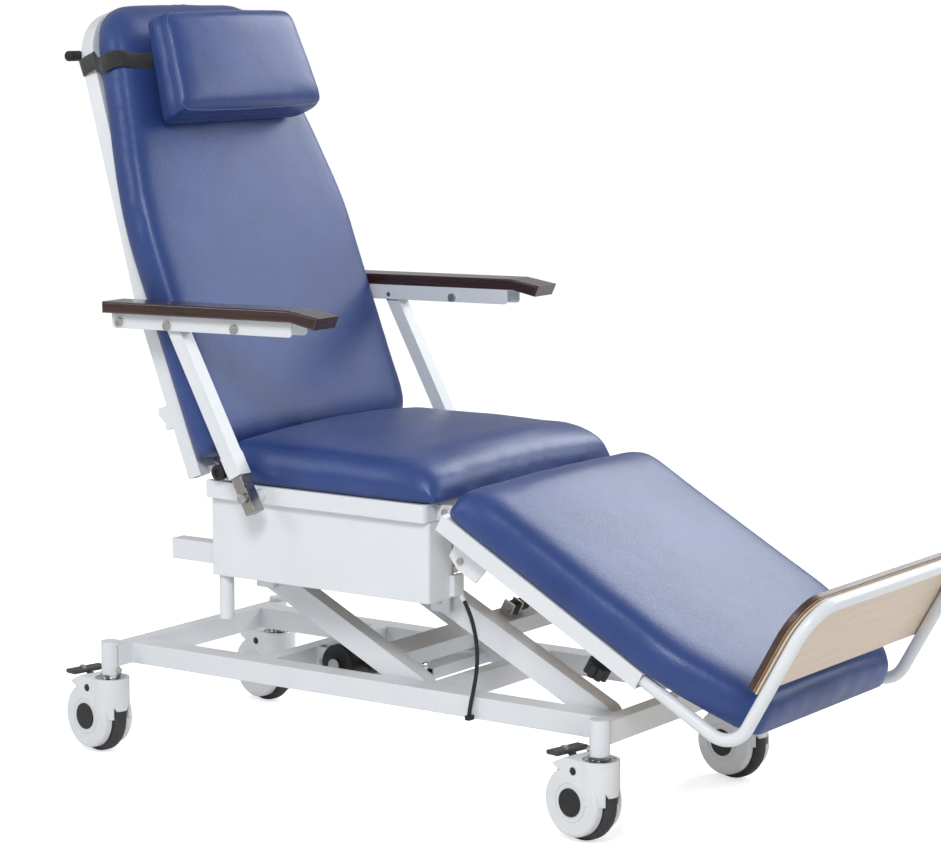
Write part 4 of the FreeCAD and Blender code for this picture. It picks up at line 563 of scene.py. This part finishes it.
# The strap, drawn tight round the section of its CAD solid


def hull(points):
    """The convex outline of points in a plane, anticlockwise."""
    points = sorted(set(points))

    def half(order):
        line = []
        for point in order:
            while len(line) > 1 and (
                (line[-1][0] - line[-2][0]) * (point[1] - line[-2][1])
                - (line[-1][1] - line[-2][1]) * (point[0] - line[-2][0])
            ) <= 0:
                line.pop()
            line.append(point)
        return line[:-1]

    return half(points) + half(points[::-1])


def strap(width, thick, rise, drop):
    """A closed webbing band with rounded edges that runs down from the frame to the pillow."""
    inverse = BACK.inverted()
    local = [inverse @ vertex.co for vertex in NODES["head_strap"].data.vertices]
    middle = (min(p.y for p in local) + max(p.y for p in local)) / 2
    outline = resampled(hull([(round(p.x, 5), round(p.z, 5)) for p in local]), 0.006)
    section = [(-0.5, 0), (-0.47, -0.5), (0.47, -0.5), (0.5, 0), (0.47, 0.5), (-0.47, 0.5)]
    bm = bmesh.new()
    rings, total = [], len(outline)
    for index, here in enumerate(outline):
        ahead = (outline[(index + 1) % total] - outline[index - 1]).normalized()
        outward = Vector((ahead.y, -ahead.x))
        share = max(0.0, min(1.0, (0.262 - abs(here.x)) / 0.085)) if here.y > 0.02 else 0.0
        low = middle + rise - drop * share * share * (3 - 2 * share) + 0.0004 * math.sin(index * 0.9)
        ring = []
        for along, out in section:
            spot = here + outward * (out * thick - thick / 2)
            ring.append(bm.verts.new(BACK @ Vector((spot.x, low + along * width, spot.y))))
        rings.append(ring)
    for index, ring in enumerate(rings):
        after = rings[(index + 1) % total]
        for k in range(len(section)):
            bm.faces.new((ring[k], ring[(k + 1) % len(section)], after[(k + 1) % len(section)], after[k]))
    return from_bmesh("pillow_strap", bm)


band = piece("pillow_strap", strap(0.028, 0.0016, 0.004, 0.024), "back", "strap")
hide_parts("head_strap")

# The footrest board: a thin pale board laid on a thicker dark one


def slab(name, outline, low, high, axes, look, body, bevel):
    """A flat plate drawn by its outline across and up, between two places along its third axis."""
    bm = bmesh.new()
    ends = [[bm.verts.new(axes @ Vector((x, along, up))) for x, up in outline] for along in (low, high)]
    bm.faces.new(ends[0])
    bm.faces.new(ends[1][::-1])
    total = len(outline)
    for k in range(total):
        bm.faces.new((ends[0][k], ends[1][k], ends[1][(k + 1) % total], ends[0][(k + 1) % total]))
    mesh = from_bmesh(name, bm)
    thing = piece(name, mesh, body, look, smooth=False)
    if bevel:
        edge = thing.modifiers.new("edge", "BEVEL")
        edge.width, edge.segments, edge.limit_method = bevel, 2, "ANGLE"
        edge.angle_limit = math.radians(50)
        thing.data = evaluated(thing)
        thing.modifiers.clear()
    return thing


def board_outline(less):
    """The footrest board's outline, round at its top corners."""
    half, low, high, turn = 0.256 - less, 0.097 + less, 0.254 - less, 0.066 - less
    out = [(-half, low), (half, low)]
    for middle, start in ((half - turn, 0), (-half + turn, 90)):
        for step in range(17):
            angle = math.radians(start + step * 90 / 16)
            out.append((middle + turn * math.cos(angle), high - turn + turn * math.sin(angle)))
    return out


LAYERS = [
    ("foot_laminate", 0.5898, 0.5920, 0.0, "cream", 0.0005),
    ("foot_ply_pale", 0.5882, 0.5898, 0.0006, "plywood", 0.0),
    ("foot_ply_dark", 0.5872, 0.5882, 0.0002, "trim", 0.0),
    ("foot_ply_core", 0.5852, 0.5872, 0.0006, "plywood", 0.0),
    ("foot_back_board", 0.5750, 0.5852, 0.0, "trim", 0.0014),
]
for name, low, high, less, look, bevel in LAYERS:
    layer = slab(name, board_outline(less), low, high, LEG, look, "foot", bevel)
    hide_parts("foot_board")

# Caster details: pin caps, hub rings and pedal lugs, drawn in each caster's own axes

CASTER_TURN = math.radians(-11)


def round_plate(bm, axes, place, radius, thick, bevel, sides=40):
    """A disc across X with softened rims, joined to a mesh."""
    rings = [(-thick / 2, 0.0), (-thick / 2, radius - bevel), (-thick / 2 + bevel, radius)]
    rings += [(thick / 2 - bevel, radius), (thick / 2, radius - bevel), (thick / 2, 0.0)]
    made = []
    for across, reach in rings:
        if reach == 0.0:
            made.append([bm.verts.new(axes @ Vector((place[0] + across, place[1], place[2])))])
            continue
        made.append([
            bm.verts.new(axes @ Vector((
                place[0] + across,
                place[1] + reach * math.cos(2 * math.pi * k / sides),
                place[2] + reach * math.sin(2 * math.pi * k / sides),
            )))
            for k in range(sides)
        ])
    for low, high in zip(made, made[1:]):
        for k in range(sides):
            after = (k + 1) % sides
            if len(low) == 1:
                bm.faces.new((low[0], high[k], high[after]))
            elif len(high) == 1:
                bm.faces.new((low[k], high[0], low[after]))
            else:
                bm.faces.new((low[k], high[k], high[after], low[after]))


def ring_mesh(name, axes, place, radius, thick):
    """A thin round bead across X."""
    spots = [
        axes @ Vector((
            place[0],
            place[1] + radius * math.cos(2 * math.pi * k / 64),
            place[2] + radius * math.sin(2 * math.pi * k / 64),
        ))
        for k in range(64)
    ]
    return tube_mesh(name, spots, thick)


for corner, (side, end) in CORNERS.items():
    axes = Matrix.Translation((side * 0.226, end * 0.485, 0)) @ Matrix.Rotation(CASTER_TURN, 4, "Z")
    body = f"swivel_{corner}"
    bm = bmesh.new()
    for face in (-1, 1):
        round_plate(bm, axes, (face * 0.0301, 0.027, 0.112), 0.0062, 0.0024, 0.0007)
    piece(f"pin_caps_{corner}", from_bmesh(f"pin_caps_{corner}", bm), body, "black")
    for face, word in ((-1, "near"), (1, "far")):
        name = f"hub_ring_{word}_{corner}"
        mesh = ring_mesh(name, axes, (face * 0.0299, 0.033, 0.0625), 0.030, 0.0009)
        piece(name, mesh, body, "shell")
    lug = [
        (0.055, 0.1305), (0.0585, 0.1305), (0.0605, 0.139),
        (0.0665, 0.1405), (0.0665, 0.1425), (0.0585, 0.1415),
    ]
    bm = bmesh.new()
    ends = [[bm.verts.new(axes @ Vector((x, y, z))) for y, z in lug] for x in (-0.0145, -0.0075)]
    bm.faces.new(ends[0])
    bm.faces.new(ends[1][::-1])
    for k in range(len(lug)):
        after = (k + 1) % len(lug)
        bm.faces.new((ends[0][k], ends[1][k], ends[1][after], ends[0][after]))
    name = f"pedal_lug_{corner}"
    piece(name, from_bmesh(name, bm), f"pedal_{corner}", "zinc", smooth=False)

# The motor's pale end disc

bm = bmesh.new()
round_plate(bm, Matrix.Identity(4), (-0.1046, 0.1087, 0.1755), 0.0105, 0.0030, 0.0008)
piece("motor_end_disc", from_bmesh("motor_end_disc", bm), "motor", "motor_grey")

# The cord: the route's points, as in the solid model

CORD = [
    (-0.173, -0.2008, 0.3296),
    (-0.1746, -0.2095, 0.3164),
    (-0.1779, -0.2198, 0.299),
    (-0.1836, -0.2316, 0.268),
    (-0.1902, -0.2368, 0.232),
    (-0.1964, -0.2344, 0.198),
    (-0.2002, -0.2302, 0.172),
    (-0.2012, -0.2288, 0.1577),
]
curve = bpy.data.curves.new("cord", "CURVE")
curve.dimensions = "3D"
spline = curve.splines.new("NURBS")
spline.points.add(len(CORD) - 1)
for point, place in zip(spline.points, CORD):
    point.co = (*place, 1)
spline.order_u = 3
spline.use_endpoint_u = True
spline.resolution_u = 12
curve.bevel_depth = 0.00325
curve.bevel_resolution = 4
curve.use_fill_caps = True
curve.materials.append(LOOKS["rubber"])
lead = bpy.data.objects.new("box_lead", curve)
bpy.context.scene.collection.objects.link(lead)
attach(lead, "seat")
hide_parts("cord")

# Camera at the photograph's place

camera = bpy.data.cameras.new("camera")
camera.sensor_width = 36
camera.lens = 3124 * 36 / 941
camera.clip_end = 100
eye = bpy.data.objects.new("camera", camera)
bpy.context.scene.collection.objects.link(eye)
yaw, pitch = math.radians(55.21), math.radians(8.26)
ahead = Vector((math.cos(pitch) * math.sin(yaw), math.cos(pitch) * math.cos(yaw), -math.sin(pitch)))
right = Vector((math.cos(yaw), -math.sin(yaw), 0))
above = right.cross(ahead)
turn = Matrix((right, above, -ahead)).transposed().to_4x4()
eye.matrix_world = Matrix.Translation((-4.088, -2.932, 1.301)) @ turn
bpy.context.scene.camera = eye

# Stage and lights

floor_mesh = bpy.data.meshes.new("floor")
floor_mesh.from_pydata([(-30, -30, 0), (30, -30, 0), (30, 30, 0), (-30, 30, 0)], [], [(0, 1, 2, 3)])
floor = bpy.data.objects.new("floor", floor_mesh)
bpy.context.scene.collection.objects.link(floor)
stage_look = Look("stage")
stage_look.set(Base_Color=(0.9, 0.9, 0.9, 1), Roughness=0.9, Emission_Color=(1, 1, 1, 1))
path = stage_look.add("ShaderNodeLightPath")
glow = stage_look.add("ShaderNodeMath", operation="MULTIPLY")
glow.inputs[1].default_value = 0.62
stage_look.link(path.outputs["Is Camera Ray"], glow.inputs[0])
stage_look.link(glow.outputs[0], stage_look.shader.inputs["Emission Strength"])
floor_mesh.materials.append(stage_look.material)

world = bpy.data.worlds.new("world")
bpy.context.scene.world = world
world.use_nodes = True
tree = world.node_tree
background = tree.nodes["Background"]
rays = tree.nodes.new("ShaderNodeLightPath")
brightest = tree.nodes.new("ShaderNodeMath")
brightest.operation = "MAXIMUM"
tree.links.new(rays.outputs["Is Camera Ray"], brightest.inputs[0])
tree.links.new(rays.outputs["Is Transmission Ray"], brightest.inputs[1])
strength = tree.nodes.new("ShaderNodeMapRange")
strength.inputs["To Min"].default_value = 0.47
strength.inputs["To Max"].default_value = 1.0
tree.links.new(brightest.outputs[0], strength.inputs["Value"])
background.inputs["Color"].default_value = (1, 1, 1, 1)
tree.links.new(strength.outputs["Result"], background.inputs["Strength"])


def lamp(name, place, target, size, power):
    light = bpy.data.lights.new(name, "AREA")
    light.shape = "DISK"
    light.size = size
    light.energy = power
    thing = bpy.data.objects.new(name, light)
    bpy.context.scene.collection.objects.link(thing)
    thing.location = place
    aim = Vector(target) - Vector(place)
    thing.rotation_mode = "QUATERNION"
    thing.rotation_quaternion = aim.to_track_quat("-Z", "Y")


lamp("key", (-3.0, -1.6, 2.9), (0, 0, 0.6), 1.1, 74)
lamp("side", (-2.7, 2.2, 2.0), (0, 0, 0.5), 1.0, 16)
lamp("sheen", (3.0, -0.3, 2.5), (0, -0.45, 0.4), 1.8, 44)
lamp("front", (2.7, -2.3, 2.0), (0, 0.2, 0.85), 1.8, 34)

bpy.context.scene.view_settings.view_transform = "Standard"
